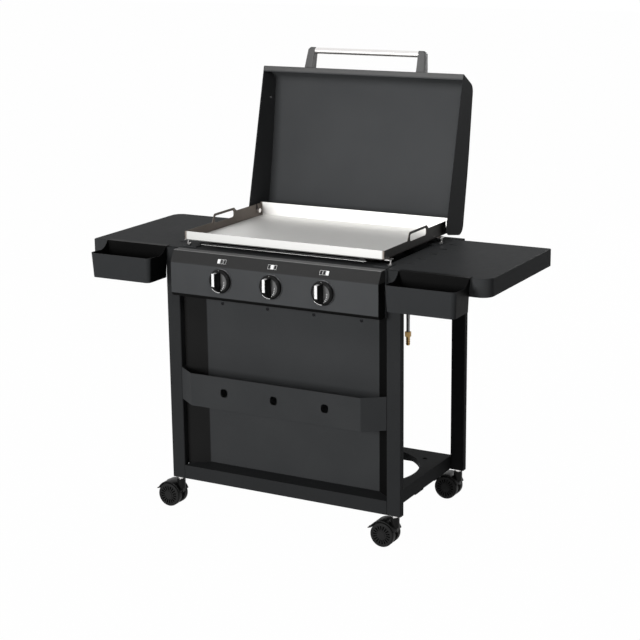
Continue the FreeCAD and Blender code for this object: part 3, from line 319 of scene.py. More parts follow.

# %% [markdown]
# ## Powder coat
# Nearly every sheet part of the cart wears the same anthracite powder coat. Powder melts into a
# skin with a fine orange peel, so the light breaks up a little, and it is never perfectly even in
# colour or in gloss. A fine noise makes the peel, a coarse one the unevenness. The coat comes in
# lit and shaded copies: the posts, the tray and the lid's sides get a darker copy than the cover,
# as painted shade, and the panel and the lid's skin a lighter one, as painted light. Bands of
# painted shade darken the cover's slanting sides, and the panel's right end, sloped top and lower
# lip. The panel's top edge and the lid's front edge get a band of painted highlight.


# %% Powder coat
def powder_coat(name, level, roughness=0.5, painted_bands=()):
    """Anthracite powder coat with a fine orange peel, and bands of painted shade and highlight.

    A painted band is an axis, the millimetres along it where the band starts and where it is
    full, and its screen grey.
    """
    coat = Finish(name, grey(level, -0.03), roughness, specular=0.012)
    cloud = coat.spots(7, detail=4)
    peel = coat.spots(900, detail=3)
    color = coat.blend(cloud, grey(level * 0.93, -0.04), grey(level * 1.06, -0.03))
    for axis, begins, full, shade in painted_bands:
        amount = coat.rise(coat.along(axis), begins * MM, full * MM)
        color = coat.blend(amount, color, grey(shade))
    coat.paint(color)
    coat.gloss(roughness - 0.04 + 0.08 * coat.spots(60))
    coat.bump(peel, 0.035)
    return coat.material


# Bands of painted shade on the cover's slanting sides and the panel's lower lip, right end and
# sloped top, and bands of painted highlight on the panel's top edge and the lid's front edge.
COVER_SLANT_SHADE = [(X, -261, -262, 36), (X, 261, 262, 14)]
PANEL_LIP_SHADE = (Z, 624, 622, 16)
PANEL_RIGHT_END_SHADE = (X, 306.8, 307.4, 16)
PANEL_SLOPE_SHADE = (Z, 704, 706, 52)
PANEL_TOP_HIGHLIGHT = (Z, 734.8, 735.4, 115)
LID_FRONT_HIGHLIGHT = (Z, 1162, 1166, 86)
black_coat = powder_coat("black_powder_coat", 56)
# Lit and shaded copies of one coat: the frame's is darker, as painted shade, and the panel's and
# the lid's lighter, as painted light.
shaded_frame_coat = powder_coat("frame_coat_painted_shade", 45)
cover_coat = powder_coat("cover_powder_coat", 58, painted_bands=COVER_SLANT_SHADE)
lit_panel_coat = powder_coat("panel_coat_painted_light", 67,
                         painted_bands=[PANEL_LIP_SHADE, PANEL_RIGHT_END_SHADE, PANEL_SLOPE_SHADE, PANEL_TOP_HIGHLIGHT])
lit_lid_coat = powder_coat("lid_coat_painted_light", 61, painted_bands=[LID_FRONT_HIGHLIGHT])
print("Made", black_coat.name, "and four more shades of it")

# %% Bin coat
BIN_SHADE_START = -80
BIN_SHADE_BORDER = 6


def bin_finish():
    """Smoother coat on the bins' fronts, and near-black painted shade on all that lies behind."""
    coat = Finish("bin_coat", grey(60, -0.04), 0.45, specular=0.04)
    # Painted shade: everything behind the bins' front walls is painted near black.
    painted_shade_behind = coat.rise(coat.along(Y), at(0, BIN_SHADE_START, 0).y,
                       at(0, BIN_SHADE_START + BIN_SHADE_BORDER, 0).y)
    cloud = coat.spots(7, detail=4)
    front = coat.blend(cloud, grey(44, -0.05), grey(50, -0.04))
    coat.paint(coat.blend(painted_shade_behind, front, grey(8)))
    coat.gloss(0.41 + 0.08 * coat.spots(60))
    coat.bump(coat.spots(900, detail=3), 0.03)
    return coat.material


bin_coat = bin_finish()
# The start of the bins' painted shade behind the front walls.
print("The bins' black lining starts at y =", BIN_SHADE_START, "mm")

# %% [markdown]
# ## Bare metals
# The griddle pan is thick stainless sheet with a fine brushed grain that runs along its width. The
# handle tube, the studs and the other small bright parts are smoother. Pipes and burners are plain
# mill-finish steel. On all of them the grain or the speckle changes the roughness a little and
# lifts the surface by a few hundredths of a millimetre.


# %% Steel, brass and ceramic
def metal(name, color, roughness, grain=(1, 1, 1), scale=400, depth=0.01, uneven=0.08):
    """A bare metal whose grain is long where the stretch is small."""
    made = Finish(name, color, roughness, metallic=1.0)
    streaks = made.spots(scale, detail=4, stretch=grain)
    dull = tuple(c * 0.9 for c in color)
    made.paint(made.blend(streaks, dull, color))
    made.gloss(roughness - uneven / 2 + uneven * streaks)
    made.bump(streaks, depth)
    return made.material


bright_steel = metal("bright_steel", (0.84, 0.82, 0.81), 0.24, grain=(0.05, 1, 1), scale=900)
pipe_steel = metal("pipe_steel", (0.16, 0.16, 0.16), 0.40, scale=250, depth=0.02)
burner_steel = metal("burner_steel", (0.10, 0.096, 0.09), 0.38, grain=(1, 0.05, 1), scale=700)
cast_alloy = metal("cast_alloy", (0.42, 0.42, 0.41), 0.55, scale=500, depth=0.06, uneven=0.15)
brass = metal("brass", (0.36, 0.23, 0.09), 0.34, scale=260, depth=0.015)
dark_screws = metal("dark_screws", (0.012, 0.012, 0.013), 0.5, scale=300, depth=0.02)
dark_ring = metal("dark_ring", (0.16, 0.16, 0.165), 0.30, scale=300, depth=0.01)

# White print for the dial marks and burner signs, also used for the knobs' painted highlight and
# painted reflection.
print_and_highlight_finish = Finish("print_and_highlight", (0.80, 0.80, 0.80), 0.45)
print_and_highlight_finish.gloss(0.40 + 0.1 * print_and_highlight_finish.spots(400))
print_and_highlight = print_and_highlight_finish.material

ceramic_finish = Finish("igniter_ceramic", (0.70, 0.68, 0.63), 0.35)
ceramic_finish.paint(ceramic_finish.blend(ceramic_finish.spots(300), (0.62, 0.60, 0.55),
                                          (0.74, 0.72, 0.67)))
ceramic_finish.bump(ceramic_finish.spots(900), 0.01)
ceramic = ceramic_finish.material
print("Metals made, the brass colour is", brass.name)

# %% [markdown]
# ## The pan
# The pan's plate is bright and brushed across, and its front wall is painted a little darker, as
# painted shade. Its side walls are painted dark brown, and their outer skin nearly black as a
# painted reflection of dark surroundings. One coordinate tells the walls from the plate: how far a
# point lies from the middle of the cart. A soft noise breaks up the border, so that it is not
# straight.


# %% Pan steel
PAN_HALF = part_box("griddle_pan")[1][0] / MM
PAN_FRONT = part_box("griddle_pan")[0][1] / MM
PAN_SHEET_FRONT = 1
PAN_WALL_ZONE = 6
PAN_BORDER = 4
PAN_SKIN = 0.7


def pan_finish():
    """Brushed steel painted dark at the side walls, and nearly black on their outer skin as a
    painted reflection.
    """
    made = Finish("brushed_pan_steel", (0.70, 0.695, 0.68), 0.48, metallic=1.0)
    streaks = made.spots(1500, detail=4, stretch=(0.03, 1, 1))
    clouds = made.spots(9, detail=3)
    reach = abs(made.along(X))
    border = (PAN_HALF - PAN_WALL_ZONE) * MM
    wall = made.rise(reach + PAN_BORDER * MM * clouds, border, border + PAN_BORDER * MM)
    painted_reflection_mask = reach > (PAN_HALF - PAN_SKIN) * MM
    front = made.along(Y) < (PAN_FRONT + PAN_SHEET_FRONT) * MM
    plate = made.blend(streaks, (0.62, 0.615, 0.60), (0.72, 0.715, 0.70))
    # Painted shade: the front wall is painted darker than the plate.
    plate = made.blend(front, plate, (0.44, 0.44, 0.43))
    dark_wall_color = made.blend(clouds, (0.10, 0.085, 0.075), (0.17, 0.15, 0.135))
    inside = made.blend(wall, plate, dark_wall_color)
    # Painted reflection: the walls' outer skin is painted nearly black.
    made.paint(made.blend(painted_reflection_mask, inside, (0.018, 0.017, 0.016)))
    made.gloss(0.52 + 0.08 * streaks)
    made.bump(streaks, 0.01)
    return made.material


pan_steel = pan_finish()
print("Pan steel goes dark", round(PAN_HALF - PAN_WALL_ZONE, 1), "mm from the middle")

# %% Strip under the pan
STRIP_TOP = 747.5


def strip_finish():
    """Bright steel whose tabs above the strip itself are painted black, as painted shade in the gap
    under the pan.
    """
    made = Finish("strip_steel", (0.42, 0.42, 0.41), 0.42, metallic=1.0)
    # Painted shade: the tabs between the strip and the pan are painted black.
    shade_gap_mask = made.along(Z) > STRIP_TOP * MM
    streaks = made.spots(900, detail=3, stretch=(0.05, 1, 1))
    strip = made.blend(streaks, (0.68, 0.68, 0.67), (0.80, 0.80, 0.79))
    made.paint(made.blend(shade_gap_mask, strip, (0.02, 0.02, 0.02)))
    made.gloss(0.38 + 0.08 * streaks)
    return made.material


strip_steel = strip_finish()
print("Weld tabs start", STRIP_TOP, "mm above the floor")

# %% [markdown]
# ## Black plastic
# Knobs, casters and post plugs are moulded in black plastic. The mould leaves a fine matt grain,
# a little glossier where fingers and wear have rubbed it, so the roughness follows a soft noise.
# The lid's handle brackets have a grained coat of the same kind in grey.


# %% Plastic
def moulded(name, level, roughness, grain=1400, depth=0.02):
    """Moulded plastic with a fine matt grain."""
    made = Finish(name, grey(level), roughness, specular=0.12)
    made.paint(made.blend(made.spots(25, detail=3), grey(level * 0.9), grey(level * 1.12)))
    made.gloss(roughness - 0.05 + 0.1 * made.spots(120))
    made.bump(made.spots(grain, detail=2), depth)
    return made.material


black_plastic = moulded("black_plastic", 13, 0.38)
tyre_plastic = moulded("tyre_plastic", 25, 0.55, grain=900, depth=0.04)
# Near-black plastic for the wheels' pockets, as painted shade in their depth.
pocket_painted_shade = moulded("pocket_painted_shade", 2, 0.8, grain=900, depth=0.04)
dial_plastic = moulded("dial_plastic", 88, 0.45)
dark_bracket = moulded("bracket_coat", 84, 0.40, grain=900, depth=0.03)
print("Made", black_plastic.name, "and three more plastics")

# %% [markdown]
# ## Finishes of the measured pieces
# Each piece of the measured model carries the name of its finish in the record, so one table from
# that name to a material dresses them all. Only the material changes: their shapes stay the same.

# %% Dress the measured pieces
finishes = {"black_coat": black_coat, "polished_steel": pan_steel, "bright_steel": bright_steel,
            "pipe_steel": pipe_steel, "burner_steel": burner_steel, "black_plastic": black_plastic,
            "dark_bracket": dark_bracket, "dark_screws": dark_screws, "cast_alloy": cast_alloy,
            "brass": brass, "ceramic": ceramic}
entries = frame["record"]["subparts"]
for entry in entries:
    node = nodes[entry["node"]]
    node.data.materials.clear()
    node.data.materials.append(finishes[entry["material_slot"]])
nodes["pan_stiffener"].data.materials[0] = strip_steel
print("Dressed", len(entries), "measured pieces")

# %% [markdown]
# ## Bench tools
# Every new piece is made as by hand: a primitive, then edit-mode operators on faces and edges that
# are picked by their place. These few functions do the clearing, the picking and the moving. An
# operator acts on whatever is selected, so the bench is always cleared before a piece is started.


# %% Start, pick and shape
def clear_bench():
    if bpy.context.object and bpy.context.object.mode != "OBJECT":
        bpy.ops.object.mode_set(mode="OBJECT")
    bpy.ops.object.select_all(action="DESELECT")


def start(name, finish):
    """Name the primitive just added, give it a finish and open it for editing."""
    piece = bpy.context.object
    piece.name = name
    piece.data.name = name
    piece.data.materials.append(finish)
    bpy.ops.object.transform_apply(location=True, rotation=True, scale=True)
    bpy.ops.object.mode_set(mode="EDIT")
    bpy.ops.mesh.select_all(action="DESELECT")
    return piece


def disc(name, finish, center, radius, thick, axis="Y", sides=64):
    """A round blank about an axis, Y or Z, opened for editing."""
    clear_bench()
    turns = {"Y": (math.pi / 2, 0, 0), "Z": (0, 0, 0)}
    bpy.ops.mesh.primitive_cylinder_add(vertices=sides, radius=radius * MM, depth=thick * MM,
                                        location=at(*center), rotation=turns[axis])
    return start(name, finish)


def slab(name, finish, low, high):
    """A rectangular blank between two corners, opened for editing."""
    clear_bench()
    low, high = at(*low), at(*high)
    bpy.ops.mesh.primitive_cube_add(size=1, location=(low + high) / 2, scale=high - low)
    return start(name, finish)


def pick(kind, test):
    """Select the faces, edges or points whose place and direction pass a test."""
    bpy.ops.mesh.select_mode(type=kind)
    bpy.ops.mesh.select_all(action="DESELECT")
    shape = bmesh.from_edit_mesh(bpy.context.object.data)
    found = 0
    if kind == "FACE":
        parts = [(f, place(f.calc_center_median()), f.normal) for f in shape.faces]
    elif kind == "EDGE":
        parts = [(e, place((e.verts[0].co + e.verts[1].co) / 2),
                  (e.verts[1].co - e.verts[0].co).normalized()) for e in shape.edges]
    else:
        parts = [(v, place(v.co), v.normal) for v in shape.verts]
    for part, where, way in parts:
        if test(where, way):
            part.select_set(True)
            found += 1
    bmesh.update_edit_mesh(bpy.context.object.data)
    return found


def pull(x=0, y=0, z=0):
    """Extrude what is selected by millimetres."""
    move = {"value": Vector((x, y, z)) * MM}
    bpy.ops.mesh.extrude_region_move(TRANSFORM_OT_translate=move)


def shift(x=0, y=0, z=0):
    """Move what is selected by millimetres."""
    bpy.ops.transform.translate(value=Vector((x, y, z)) * MM)


def scale(x, y, z, center):
    bpy.ops.transform.resize(value=(x, y, z), center_override=at(*center))


def spin(degrees, axis, center):
    """Turn the whole shape round a place."""
    bpy.ops.mesh.select_all(action="SELECT")
    bpy.ops.transform.rotate(value=math.radians(degrees), orient_axis=axis,
                             center_override=at(*center))


def draw_out(radius, way, steps, center):
    """Extrude a round face in steps, each a length and the radius that it ends with."""
    for length, wanted in steps:
        pull(*(length * w for w in way))
        scale(*(1 if w else wanted / radius for w in way), center)
        radius = wanted


def inset(width):
    bpy.ops.mesh.inset(thickness=width * MM)


def open_middle(width):
    """Leave only a rim of a flat plate that stands upright."""
    pick("FACE", lambda where, way: abs(way.y) > 0.99)
    inset(width)
    bpy.ops.mesh.bridge_edge_loops()


def round_off(width, segments=3):
    """Round the selected edges."""
    bpy.ops.mesh.bevel(offset=width * MM, segments=segments, affect="EDGES")


def modify(piece, kind, **settings):
    """Work a shape with a modifier, and keep what it makes."""
    modifier = piece.modifiers.new(kind.lower(), kind)
    for key, value in settings.items():
        setattr(modifier, key, value)
    bpy.ops.object.modifier_apply(modifier=modifier.name)


# %% Close, copy and mount
def close_up(piece, smooth=35):
    """Merge doubled points, turn the faces outwards and shade the gentle curves smooth."""
    if bpy.context.object.mode != "EDIT":
        bpy.ops.object.mode_set(mode="EDIT")
    bpy.ops.mesh.select_all(action="SELECT")
    bpy.ops.mesh.remove_doubles(threshold=0.000005)
    bpy.ops.mesh.normals_make_consistent(inside=False)
    bpy.ops.object.mode_set(mode="OBJECT")
    bpy.ops.object.shade_smooth_by_angle(angle=math.radians(smooth))
    return piece


def another(piece, name, x=0, y=0, z=0):
    """A copy with a mesh of its own, moved by millimetres."""
    clear_bench()
    piece.select_set(True)
    bpy.context.view_layer.objects.active = piece
    bpy.ops.object.duplicate(linked=False)
    made = bpy.context.object
    made.name = name
    made.data.name = name
    shift(x, y, z)
    bpy.ops.object.transform_apply(location=True, rotation=True, scale=True)
    return made


def joined(name, *parts):
    """Several worked shapes of one finish or several, made one piece."""
    clear_bench()
    for part in parts:
        part.select_set(True)
    bpy.context.view_layer.objects.active = parts[0]
    bpy.ops.object.join()
    made = bpy.context.object
    made.name = name
    made.data.name = name
    return made


def mount(piece, body, slot, *stands_for):
    """Put a piece on its body and hide the nodes that it stands for. The finish slot is not used.
    """
    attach(piece, body)
    if stands_for:
        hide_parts(*stands_for)
    print(piece.name, "faces:", len(piece.data.polygons))
    return piece


# %% [markdown]
# ## Knobs
# Each knob is a moulded skirt that narrows to the front in a soft curve and ends in a thin rim
# round a sunk grey dial. A tall grip bar crosses it, cut away below, with a painted highlight over
# its front and top: a thin bright sheet. A bright arc at the rim's lower left is a painted
# reflection of the floor. The skirt starts as a flat disc whose front face is extruded and narrowed
# step by step. The bar is a slab whose lower end is drawn back. One knob is made and then copied
# twice. Its back stands off the panel, because a knob is pushed in by three millimetres before it
# turns.

# %% Knob skirt
KNOB_Z = 669
KNOB_SPACING = 152
BLANK_THICK = 1
SKIRT_BACK = -45.6
SKIRT_RADIUS = 32
SKIRT_STEPS = ((1.5, 31.4), (3.0, 29.6), (1.7, 28.0), (1.2, 26.4))
RIM = -54
RIM_WIDTH = 1.7
WELL_DEPTH = 2.9
WELL_MARGIN = 3
DIAL = RIM + 2.5
DIAL_RADIUS = 24.6


def front_face(limit):
    return lambda where, way: way.y < -0.9 and where.y < limit


skirt = disc("knob_skirt", black_plastic, (0, SKIRT_BACK - BLANK_THICK / 2, KNOB_Z),
             SKIRT_RADIUS, BLANK_THICK)
pick("FACE", front_face(SKIRT_BACK - 0.8))
draw_out(SKIRT_RADIUS, (0, -1, 0), SKIRT_STEPS, (0, 0, KNOB_Z))
inset(RIM_WIDTH)
pull(y=WELL_DEPTH)
inset(WELL_MARGIN)
close_up(skirt)
dial = disc("knob_dial", dial_plastic, (0, DIAL + 0.3, KNOB_Z), DIAL_RADIUS, BLANK_THICK)
pick("EDGE", lambda where, way: where.y < DIAL)
round_off(0.3, 2)
close_up(dial)

# %% Knob grip, painted highlight and painted glint
GRIP_FRONT = -80
GRIP_HALF = 5.6
GRIP_END = 25.6
GRIP_FOLD = 10
GRIP_DRAWN_BACK = 21
GRIP_EDGE = 1.1
HIGHLIGHT_HALF = 3.7
HIGHLIGHT_PROUD = 0.3
HIGHLIGHT_FOOT = 7.5
HIGHLIGHT_TOP = 25
HIGHLIGHT_LAP = 1.5
HIGHLIGHT_BACK = 13
GLINT_RADIUS = 29.9
GLINT_WIDTH = 1
GLINT_ARC = (-137, -84)

grip = slab("knob_grip", black_plastic, (-GRIP_HALF, GRIP_FRONT, KNOB_Z - GRIP_FOLD),
            (GRIP_HALF, DIAL + 0.5, KNOB_Z + GRIP_END))
pick("FACE", lambda where, way: way.z < -0.9)
pull(z=GRIP_FOLD - GRIP_END)
pick("EDGE", lambda where, way: abs(way.x) > 0.9 and where.z < KNOB_Z - 25
     and where.y < DIAL - 9)
shift(y=GRIP_DRAWN_BACK)
pick("EDGE", lambda where, way: where.y < DIAL - 2)
round_off(GRIP_EDGE)
close_up(grip)

# Painted highlight: a thin bright sheet over the grip's front and top stands for the lamp mirrored
# in it.
grip_highlight = slab("knob_grip_highlight", print_and_highlight,
             (-HIGHLIGHT_HALF, GRIP_FRONT - HIGHLIGHT_PROUD, KNOB_Z - HIGHLIGHT_FOOT),
             (HIGHLIGHT_HALF, GRIP_FRONT + 0.5, KNOB_Z + HIGHLIGHT_TOP))
pick("FACE", lambda where, way: way.z > 0.9)
pull(z=HIGHLIGHT_LAP)
pick("FACE", lambda where, way: way.y > 0.9 and where.z > KNOB_Z + HIGHLIGHT_TOP + 0.1)
pull(y=HIGHLIGHT_BACK)
close_up(grip_highlight)

# Painted reflection: a bright arc at the rim's lower left stands for the floor mirrored in the
# glossy flank.
glint = disc("knob_glint", print_and_highlight, (0, RIM + 2.8, KNOB_Z), GLINT_RADIUS, 2, sides=72)
open_middle(GLINT_WIDTH)


def off_the_arc(where, way):
    """What lies outside the lower left part of the ring."""
    angle = math.degrees(math.atan2(where.z - KNOB_Z, where.x))
    return not GLINT_ARC[0] < angle < GLINT_ARC[1]


pick("FACE", off_the_arc)
bpy.ops.mesh.delete(type="FACE")
bpy.ops.mesh.select_all(action="SELECT")
bpy.ops.mesh.region_to_loop()
bpy.ops.mesh.fill()
close_up(glint)
print("Knob grip stands", RIM - GRIP_FRONT, "mm proud of the rim")

# %% Dial marks, and the knob put together
MARKS = 6
MARK_TURN = 14.5
MARK_REACH, MARK_REACH_GAIN = 16.2, 7.6
MARK_HALF, MARK_HALF_GAIN = 0.7, 0.13
TICK_HALF = 0.7
TICK_LOW, TICK_HIGH = 27.6, 29.6

marks = []
for step in range(MARKS):
    far = MARK_REACH + MARK_REACH_GAIN * (step / (MARKS - 1)) ** 2
    half = MARK_HALF + MARK_HALF_GAIN * step
    mark = slab("dial_mark", print_and_highlight, (far - 1.2, DIAL - 0.5, KNOB_Z - half),
                (far + 1.0, DIAL + 0.1, KNOB_Z + half))
    spin(-MARK_TURN * step, "Y", (0, 0, KNOB_Z))
    marks.append(close_up(mark))
tick = slab("knob_tick", print_and_highlight, (-TICK_HALF, RIM + 2, KNOB_Z + TICK_LOW),
            (TICK_HALF, RIM + 5, KNOB_Z + TICK_HIGH))
close_up(tick)
knob = joined("knob", skirt, dial, grip)
knob_print_and_highlights = joined("knob_print_and_highlights", grip_highlight, glint, tick, *marks)
knob_places = {"middle": 0, "left": -KNOB_SPACING, "right": KNOB_SPACING}
for side, x in knob_places.items():
    body = "control_knob_" + side
    mount(another(knob, "knob_moulding_" + side, x=x), body, "black_plastic", "knob_" + side)
    mount(another(knob_print_and_highlights, "knob_print_and_highlights_" + side, x=x), body, "bright_steel")
for used in (knob, knob_print_and_highlights):
    bpy.data.objects.remove(used)

# %% [markdown]
# ## Bezels
# Behind each knob lies a thin dark bezel plate that covers the hole in the panel. It is a flat disc
# with a rounded front edge and a hole for the valve's neck.

# %% Knob bezels
BEZEL_MIDDLE = -40.7
BEZEL_THICK = 1.4
BEZEL_RADIUS = 32.2
BEZEL_RIM = 24

bezels = []
for x in knob_places.values():
    bezel = disc("bezel", dark_ring, (x, BEZEL_MIDDLE, KNOB_Z), BEZEL_RADIUS, BEZEL_THICK,
                 sides=96)
    pick("EDGE", lambda where, way: where.y < BEZEL_MIDDLE - 0.6)
    round_off(BEZEL_THICK / 2)
    open_middle(BEZEL_RIM)
    bezels.append(close_up(bezel))
mount(joined("knob_bezel_plates", *bezels), "cart", "bright_steel", "knob_bezels")

# %% [markdown]
# ## Burner signs
# A small sign on the sloped strip above each knob tells which burner it works: three outlined
# cells side by side, with one of them filled.

# %% Burner signs
SIGN_Y, SIGN_Z = -33.3, 719.1
SIGN_TILT = math.degrees(math.atan2(17, 29))
SIGN_HALF_WIDTH = 13
SIGN_HALF_HEIGHT = 6
SIGN_HALF_SHEET = 0.2
SIGN_LINE = 0.5
CELL_WIDTH = 8
CELL_SPACING = 9

signs = []
for burner in range(3):
    for cell in range(3):
        left = (burner - 1) * KNOB_SPACING - SIGN_HALF_WIDTH + cell * CELL_SPACING
        outline = slab("sign_cell", print_and_highlight,
                       (left, SIGN_Y - SIGN_HALF_SHEET, SIGN_Z - SIGN_HALF_HEIGHT),
                       (left + CELL_WIDTH, SIGN_Y + SIGN_HALF_SHEET, SIGN_Z + SIGN_HALF_HEIGHT))
        if cell != burner:
            open_middle(SIGN_LINE)
        spin(SIGN_TILT, "X", (0, SIGN_Y, SIGN_Z))
        signs.append(close_up(outline))
mount(joined("burner_signs", *signs), "cart", "bright_steel")

# %% [markdown]
# ## Softened sheet metal
# The measured model draws folds and cut edges sharp. Real sheet always has a small radius there,
# and that thin line of light is what makes it look like metal. A copy of each visible piece gets
# its doubled points merged, its flats cleaned and its edges rounded by a bevel. The bins' back wall
# also moves back, because the real bins are as deep as the space before the shelf's skirt.


# %% Soften
CORNERS = {"front_left": (-330, 10), "front_right": (330, 10),
           "back_left": (-330, 410), "back_right": (330, 410)}


def softened(name, node, finish, width, segments=2, sharp=32):
    """A worked copy of a measured piece whose edges are rounded by a width."""
    clear_bench()
    piece = bpy.data.objects.new(name, nodes[node].data.copy())
    piece.data.name = name
    bpy.context.scene.collection.objects.link(piece)
    piece.data.materials.clear()
    piece.data.materials.append(finish)
    piece.select_set(True)
    bpy.context.view_layer.objects.active = piece
    bpy.ops.object.mode_set(mode="EDIT")
    bpy.ops.mesh.select_all(action="SELECT")
    bpy.ops.mesh.remove_doubles(threshold=0.00002)
    bpy.ops.mesh.dissolve_limited(angle_limit=math.radians(1))
    bpy.ops.object.mode_set(mode="OBJECT")
    bpy.ops.object.shade_smooth()
    modify(piece, "BEVEL", width=width * MM, segments=segments, limit_method="ANGLE",
           angle_limit=math.radians(sharp))
    modify(piece, "WEIGHTED_NORMAL", weight=100)
    return piece


BIN_WALL = (-70, -17)
BIN_WALL_BACK = 18


def deepened(tub):
    """Move a bin's back wall to the shelf's skirt, where the real one leans."""
    clear_bench()
    tub.select_set(True)
    bpy.context.view_layer.objects.active = tub
    bpy.ops.object.mode_set(mode="EDIT")
    moved = pick("VERT", lambda where, way: BIN_WALL[0] < where.y < BIN_WALL[1])
    shift(y=BIN_WALL_BACK)
    bpy.ops.object.mode_set(mode="OBJECT")
    print(tub.name, "moved points:", moved)
    return tub


sheet_pieces = [("tray", "base_tray", shaded_frame_coat, 0.5, "cart", "black_coat"),
                ("cover", "cover_panel", cover_coat, 0.4, "cart", "black_coat"),
                ("rack", "front_rack", black_coat, 0.4, "cart", "black_coat"),
                ("firebox", "burner_box", black_coat, 0.4, "cart", "black_coat"),
                ("panel", "control_panel", lit_panel_coat, 0.5, "cart", "black_coat"),
                ("rail", "rear_rail", black_coat, 0.4, "cart", "black_coat"),
                ("right_shelf", "shelf_right", black_coat, 0.55, "cart", "black_coat"),
                ("left_shelf", "shelf_left", black_coat, 0.55, "cart", "black_coat"),
                ("right_bin", "bin_right", bin_coat, 0.6, "bin_right_tub", "black_coat"),
                ("left_bin", "bin_left", bin_coat, 0.6, "bin_left_tub", "black_coat"),
                ("pan", "griddle_pan", pan_steel, 0.8, "griddle", "polished_steel"),
                ("lid_skin", "lid_shell", lit_lid_coat, 0.5, "lid", "black_coat"),
                ("lid_right_side", "lid_side_right", shaded_frame_coat, 0.5, "lid", "black_coat"),
                ("lid_left_side", "lid_side_left", shaded_frame_coat, 0.5, "lid", "black_coat"),
                ("handle_brackets", "lid_handle_brackets", dark_bracket, 1.2, "lid",
                 "dark_bracket")]
for corner in CORNERS:
    sheet_pieces.append(("post_tube_" + corner, "post_" + corner, shaded_frame_coat, 0.7, "cart",
                         "black_coat"))
for name, node, finish, width, body, slot_name in sheet_pieces:
    piece = softened(name, node, finish, width)
    if finish == bin_coat:
        deepened(piece)
    mount(piece, body, slot_name, node)

# %% [markdown]
# ## Small fittings
# Narrow dark plates close the two slits between the control panel's ends and the posts: they are
# put there as shade, so that the slits show dark and not the white backdrop. A folded dark sheet
# behind the firebox's row of vents is put there as shade too, so that the backdrop is not seen
# through them. The gas inlet is a slim brass nut with a hose nose under a dark neck: discs about an
# upright axis, of which the nut's has six sides.

# %% Panel slit shades and vent shade sheet
PANEL_END = 308
SLIT_SHADE_LAP, SLIT_SHADE_REACH = 0.5, 5
SLIT_SHADE_FRONT, SLIT_SHADE_BACK = -5, -0.2
SLIT_SHADE_LOW, SLIT_SHADE_HIGH = 613, 735
VENT_HALF = 262
VENT_LOW, VENT_FOLD = 674, 688.8
VENT_SHEET, VENT_BACK = 1.2, 422
VENT_FOLD_SHEET, VENT_RUN = 1.4, 2.9

# Dark plates put in the slits as shade, so that the backdrop doesn't show through them.
slit_shades = []
for side in (-1, 1):
    left, right = sorted((side * (PANEL_END - SLIT_SHADE_LAP), side * (PANEL_END + SLIT_SHADE_REACH)))
    slit_shade = slab("slit_shade", black_coat, (left, SLIT_SHADE_FRONT, SLIT_SHADE_LOW),
                  (right, SLIT_SHADE_BACK, SLIT_SHADE_HIGH))
    pick("EDGE", lambda where, way: abs(way.z) > 0.9)
    round_off(0.4, 2)
    slit_shades.append(close_up(slit_shade))
mount(joined("panel_slit_shades", *slit_shades), "cart", "black_coat")

# A dark folded sheet put behind the vents as shade, so that the backdrop doesn't show through them.
vent_shade_sheet = slab("vent_shade_sheet", black_coat, (-VENT_HALF, VENT_BACK - VENT_SHEET, VENT_LOW),
                 (VENT_HALF, VENT_BACK, VENT_FOLD))
pick("FACE", lambda where, way: way.z > 0.9)
pull(z=VENT_FOLD_SHEET)
pick("FACE", lambda where, way: way.y < -0.9 and where.z > VENT_FOLD)
pull(y=-VENT_RUN)
pick("EDGE", lambda where, way: abs(way.x) > 0.9 and where.y > VENT_BACK - 0.1
     and where.z > VENT_FOLD + VENT_FOLD_SHEET - 0.2)
round_off(0.8, 3)
mount(close_up(vent_shade_sheet), "cart", "black_coat")

# %% Gas inlet
INLET = (296, 155)
NECK_RADIUS, NECK_LENGTH = 4.6, 34
NUT_RADIUS, NUT_HEIGHT = 8.4, 14
NOSE_START, NOSE_RADIUS, NOSE_BLANK = 24, 6.2, 2
NOSE_STEPS = ((5.5, 4.7), (0.5, 6.0), (5.5, 4.6), (0.5, 5.9), (5.5, 4.5), (0.5, 5.8), (5, 4.2))

low, high = (corner.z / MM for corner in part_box("gas_inlet"))
neck = disc("inlet_neck", pipe_steel, (*INLET, high - NECK_LENGTH / 2), NECK_RADIUS, NECK_LENGTH,
            axis="Z", sides=32)
pick("EDGE", lambda where, way: abs(way.z) < 0.1 and where.z > high - 1)
round_off(0.8, 2)
close_up(neck)
nut = disc("inlet_nut", brass, (*INLET, high - NECK_LENGTH - NUT_HEIGHT / 2), NUT_RADIUS,
           NUT_HEIGHT, axis="Z", sides=6)
pick("EDGE", lambda where, way: abs(way.z) < 0.1)
round_off(1.2, 2)
close_up(nut)
nose = disc("inlet_nose", brass, (*INLET, low + NOSE_START), NOSE_RADIUS, NOSE_BLANK, axis="Z",
            sides=32)
pick("FACE", lambda where, way: way.z < -0.9)
draw_out(NOSE_RADIUS, (0, 0, -1), NOSE_STEPS, (*INLET, low))
close_up(nose)
mount(joined("inlet_fitting", neck, nut, nose), "cart", "brass", "gas_inlet")

# %% [markdown]
# ## Cover screws
# Four blackened pan-head screws hold the cover. Each head is a low dome turned from a disc, with a
# small driver recess sunk into it.

# %% Cover screws
SCREW_Y, SCREW_Z = 57, 580.6
SCREW_SPACING = 140
HEAD_RADIUS, HEAD_THICK = 4.2, 2
DOME_RISE, DOME_SHARE = 0.4, 0.82
RECESS_RIM, RECESS_DEPTH = 1.8, 1.2

